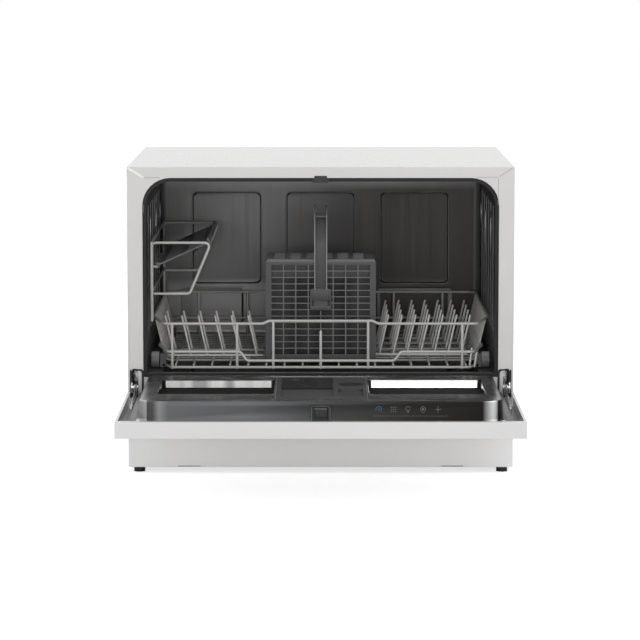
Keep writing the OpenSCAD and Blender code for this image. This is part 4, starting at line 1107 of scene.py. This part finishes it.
def island(bm, a, b, r, rise, where):
    """A raised mark from a to b, as wide as two r."""
    rings = []
    for cut, up in ((0, 0), (0, rise * 0.5), (0.15 * r, rise * 0.85), (0.45 * r, rise)):
        rings.append([bm.verts.new(where(u, v, up)) for u, v in capsule(a, b, r - cut)])
    closed_skin(bm, rings)


def on_front(x, z, out):
    return at(x, -0.02 - out, z)


bm = bmesh.new()
island(bm, (-272.4, 435.6), (-252.5, 423.6), 1.9, 0.7, on_front)
piece("corner_strip", bm, CORNER_HIGHLIGHT, "cabinet")
seams = (((-249.5, 422.9), (-228, 422.9)), ((222, 423.6), (250.5, 423.6)), ((251.6, 422), (251.6, 384)),
         ((271, 436.5), (253.5, 424.8)), ((-251.6, 384), (-251.6, 374)))
bm = bmesh.new()
for a, b in seams:
    island(bm, a, b, 0.42, 0.12, on_front)
piece("frame_seams", bm, SEAM, "cabinet")
print("front seams", len(seams))

# %% [markdown]
# Each hinge arm comes out of a black pocket at the foot of the post. The pocket's plastic frame is a
# ring with a round top. It is pressed out of the same rounded rectangles as the steel fields, and it stays
# clear of the arm, which turns in the slot inside it.

# %% Hinge pockets
arm_lo, arm_hi = box_mm("hinge_arm_r")
print("arm", [round(v, 1) for v in arm_lo], [round(v, 1) for v in arm_hi])
pocket_outside = (252.2, 270.6, 109.0, 149.5)
pocket_slot = (255.4, 267.2, 112.0, 147.2)
proud = 0.25
bm = bmesh.new()
for side in (-1, 1):
    face = lambda u, v, d: at(side * u, -0.02 - d, v)
    steps = [(0, 0), (0, 0.12)] + round_step((0, 0.12), (-0.2, proud), False, 3)
    last = press(bm, pocket_outside, (0.6, 5.0), steps, face)[1]
    lip = press(bm, pocket_slot, (0.6, 4.0), [(0, proud), (0, -1.0), (-0.1, -26.0)], face)[0]
    flat_between(bm, [last, lip])
piece("hinge_pockets", bm, BLACK, "cabinet")

# %% [markdown]
# The dispenser's plate has a thin bright hem at each side. The lid stands proud of its channel, and the
# shadow under its front edge is painted as one black line, which is laid under the edge and rides on the
# lid.

# %% Dispenser trim
hem_xs, hem_ys = (-61.4, 63.2), (-260, -44)
lid_xs, lid_y = (-53.5, 14.5), -152.9
bm = bmesh.new()
for x in hem_xs:
    wire(bm, [(x, y, liner_top + 0.25) for y in hem_ys], 0.55, sides=8)
piece("dispenser_hems", bm, GREY, "door")
bm = bmesh.new()
wire(bm, [(x, lid_y, liner_top - 1.1) for x in lid_xs], 0.9, sides=8)
piece("lid_shadow", bm, moulded("LidShadow", "#060606", 0.8, 0.05), "lid")
print("dispenser trim")

# %% [markdown]
# The latch sits in a black frame, an open ring through which the bolt passes. Thin grey lines along
# its sides and top, and one across it, are a painted highlight. The ring is pressed out of rounded
# rectangles that rise, roll inward and sink again.

# %% Latch frame
def on_wall(x, z, out):
    return at(x, liner_front - out, z)


bm = bmesh.new()
steps = [(0, 0.0), (0, 0.9)] + round_step((0, 0.9), (-0.5, 1.3), False, 3)
steps += [(-1.5, 1.3), (-1.7, -0.6)]
press(bm, (-12.2, 12.2, 118.6, 138.0), (4, 2.4), steps, on_wall)
piece("latch_cover", bm, BLACK, "door", flat=True)
bm = bmesh.new()
line = ((-12.4, 119), (-12.4, 137.8), (12.4, 137.8), (12.4, 119))
wire(bm, [(x, liner_front - 0.5, z) for x, z in line], 0.42, 3.0, sides=8)
wire(bm, [(x, liner_front - 1.0, 134.2) for x in (-8, 8)], 0.5, sides=8)
piece("latch_highlight", bm, GREY, "door")

# %% [markdown]
# Beside the latch, five plain signs are printed on the upright wall: a ring, a dotted square, a drop, a
# lamp and a plus, over a fine line. They are thin wires of colour laid half into the wall and less than
# 0.7 mm proud, so they need no picture.

# %% Signs on the liner
BLUE = enamel("SignBlue", "#4F6E8E", 0.4)
INK = enamel("SignGrey", "#6E6D6B", 0.4)
sign_z = 133.4


def circle(x, z, r, start=0, end=360, n=20):
    angles = [math.radians(start + (end - start) * k / n) for k in range(n + 1)]
    return [(x + r * math.cos(a), z + r * math.sin(a)) for a in angles]


def stroke(bm, points, r=0.32):
    """A printed line through points of the upright wall."""
    wire(bm, [(x, liner_front - 0.12, z) for x, z in points], r, 0.2, sides=6)


bm = bmesh.new()
stroke(bm, circle(77.5, sign_z, 3.8, -60, 200), 0.4)
stroke(bm, circle(77.5, sign_z, 1.2, 0, 350), 0.3)
piece("sign_blue", bm, BLUE, "door")
bm = bmesh.new()
for i in range(3):
    for j in range(3):
        c = (94.2 + 2.9 * i, sign_z - 2.9 + 2.9 * j)
        island(bm, c, (c[0] + 0.05, c[1]), 0.7, 0.2, on_wall)
stroke(bm, circle(116.5, sign_z + 1, 3.0, 20, 340))
stroke(bm, circle(116.5, sign_z - 3.4, 0.8, 0, 350))
stroke(bm, circle(136.5, sign_z + 0.4, 3.4, -70, 250))
stroke(bm, circle(136.5, sign_z + 0.4, 1.1, 0, 350), 0.5)
stroke(bm, [(135, sign_z - 4.4), (138, sign_z - 4.4)])
stroke(bm, [(156.5, sign_z - 4), (156.5, sign_z + 4)])
stroke(bm, [(152.8, sign_z), (160.2, sign_z)])
stroke(bm, [(70, 124.5), (170, 124.5)], 0.2)
piece("signs_grey", bm, INK, "door")
print("five signs")

# %% [markdown]
# The side walls of the tub have slim beads with a small hole above each, at three depths. They are where
# the wall is spot-welded to its frame. A bead is a wire half sunk in the wall, in the lighter liner steel
# as a painted highlight, and the hole is a dimple with a rounded edge, painted black as the shade in the
# hole.

# %% Side wall beads
wall_x = 248.7
bead_top, hole_z = 355, (359, 364.2)
bm = bmesh.new()
holes = bmesh.new()
for side in (-1, 1):
    for y, low in ((130, 300), (282, 290), (404, 320)):
        x = side * wall_x
        wire(bm, [(x, y, low), (x, y, bead_top)], 1.1, sides=10)
        into = lambda u, v, d: at(x - side * d, u, v)
        dimple = [(0.4, 0.15), (0, 0.5), (-0.6, 0.5), (-0.9, 0.1)]
        last = press(holes, (y - 2.6, y + 2.6, *hole_z), (2.5, 2.5), dimple, into)[1]
        flat_between(holes, [last])
piece("wall_beads", bm, LINER, "cabinet")
piece("wall_dimples", holes, BLACK, "cabinet")
print("six beads")

# %% [markdown]
# The outer face of the door lies underneath while the door is open. Each button has a small signal lamp
# above it and a plain sign below it, and five dots stand for the programs. They are the same raised
# islands and thin strokes as on the liner, laid on the control strip's face.

# %% Marks on the control strip
face_z = 95.5
LED = moulded("SignalLamp", "#8DB08A", 0.25, 0.03)


def on_strip(x, y, out):
    return at(x, y, face_z - 0.02 - out)


def strip_line(bm, points):
    wire(bm, [(x, y, face_z - 0.1) for x, y in points], 0.3, 0.2, sides=6)


bm = bmesh.new()
for x in (-205, -170, 205):
    island(bm, (x - 2.4, -278), (x + 2.4, -278), 0.9, 0.4, on_strip)
for k in range(5):
    island(bm, (-140 + 13 * k, -270), (-139.9 + 13 * k, -270), 1.1, 0.3, on_strip)
piece("strip_lamps", bm, LED, "door")
bm = bmesh.new()
turn = [math.radians(a) for a in range(-230, 51, 20)]
strip_line(bm, [(-205 + 3.2 * math.cos(a), -246 + 3.2 * math.sin(a)) for a in turn])
strip_line(bm, [(-205, -250.5), (-205, -246)])
for k in range(3):
    strip_line(bm, [(-173.5, -248.5 + 2.5 * k), (-166.5 - 1.5 * k, -248.5 + 2.5 * k)])
strip_line(bm, [(202.5, -249.5), (208.5, -246), (202.5, -242.5), (202.5, -249.5)])
for k in range(5):
    strip_line(bm, [(-143.5 + 13 * k, -262), (-136 + 13 * k, -262)])
    strip_line(bm, [(-142.5 + 13 * k, -259), (-137.5 - k + 13 * k, -259)])
piece("strip_signs", bm, INK, "door")
print("control strip marks")

# %% [markdown]
# The base tray is screwed to the frame from behind, in the recess of the hose fittings, and every
# outlet of the spray arm has a raised lip. A screw head is a stack of rings that shrink as they rise,
# and a lip is a small closed ring of wire.

# %% Screws and nozzles
plate_y = box_mm("base_tray")[1][1]
screw_xs, screw_z, screw_r = (-262, -90, 90, 262), 48, 3.6
head = [(0, 0.0), (0, 0.5)] + round_step((0, 0.5), (-1.4, 1.5), False, 4) + [(-2.1, 1.5), (-2.2, 0.7)]
bm = bmesh.new()
for x in screw_xs:
    on_plate = lambda u, v, d: at(u, plate_y + d, v)
    last = press(bm, around(x, screw_z, screw_r, screw_r), (screw_r, screw_r), head, on_plate)[1]
    flat_between(bm, [last])
piece("tray_screws", bm, HINGE, "cabinet", flat=True)
arm_top = box_mm("spray_arm")[1][2]
arm_y, nozzle_pitch, nozzle_r = 222, 33, 2.6
bm = bmesh.new()
for s in (-1, 1):
    for i in range(1, 6):
        x, y = s * nozzle_pitch * i, arm_y + s * (4 if i % 2 else -4)
        angles = [math.radians(a) for a in range(0, 360, 30)]
        ring = [(x + nozzle_r * math.cos(a), y + nozzle_r * math.sin(a), arm_top - 0.2) for a in angles]
        wire(bm, ring, 0.55, 0.3, closed=True, sides=8)
piece("spray_nozzles", bm, GREY, "spray")
print("screws", len(screw_xs), "nozzles 10, tray at", round(plate_y))

# %% [markdown]
# The floor is a plain pale plane, larger than the picture. It is lifted towards white for the camera
# only, so it meets the white background without an edge and still shows the shadow under the cabinet.

# %% Floor
bm = bmesh.new()
bmesh.ops.create_grid(bm, x_segments=1, y_segments=1, size=14.0)
mesh = bpy.data.meshes.new("Floor")
bm.to_mesh(mesh)
bm.free()
floor = bpy.data.objects.new("Floor", mesh)
scene.collection.objects.link(floor)
p = Paper("FloorPaint")
path = p.node("LightPath")
glow = p.node("Math", {0: path.outputs["Is Camera Ray"]}, _operation="MULTIPLY").outputs[0]
glow.node.inputs[1].default_value = 0.7
p.set(Base_Color=p.blend(p.noise(3.0), (0.82, 0.82, 0.82), (0.86, 0.86, 0.86)), Roughness=0.9,
      Emission_Color=(1.0, 1.0, 1.0), Emission_Strength=glow)
floor.data.materials.append(p.mat)
print("floor ready")
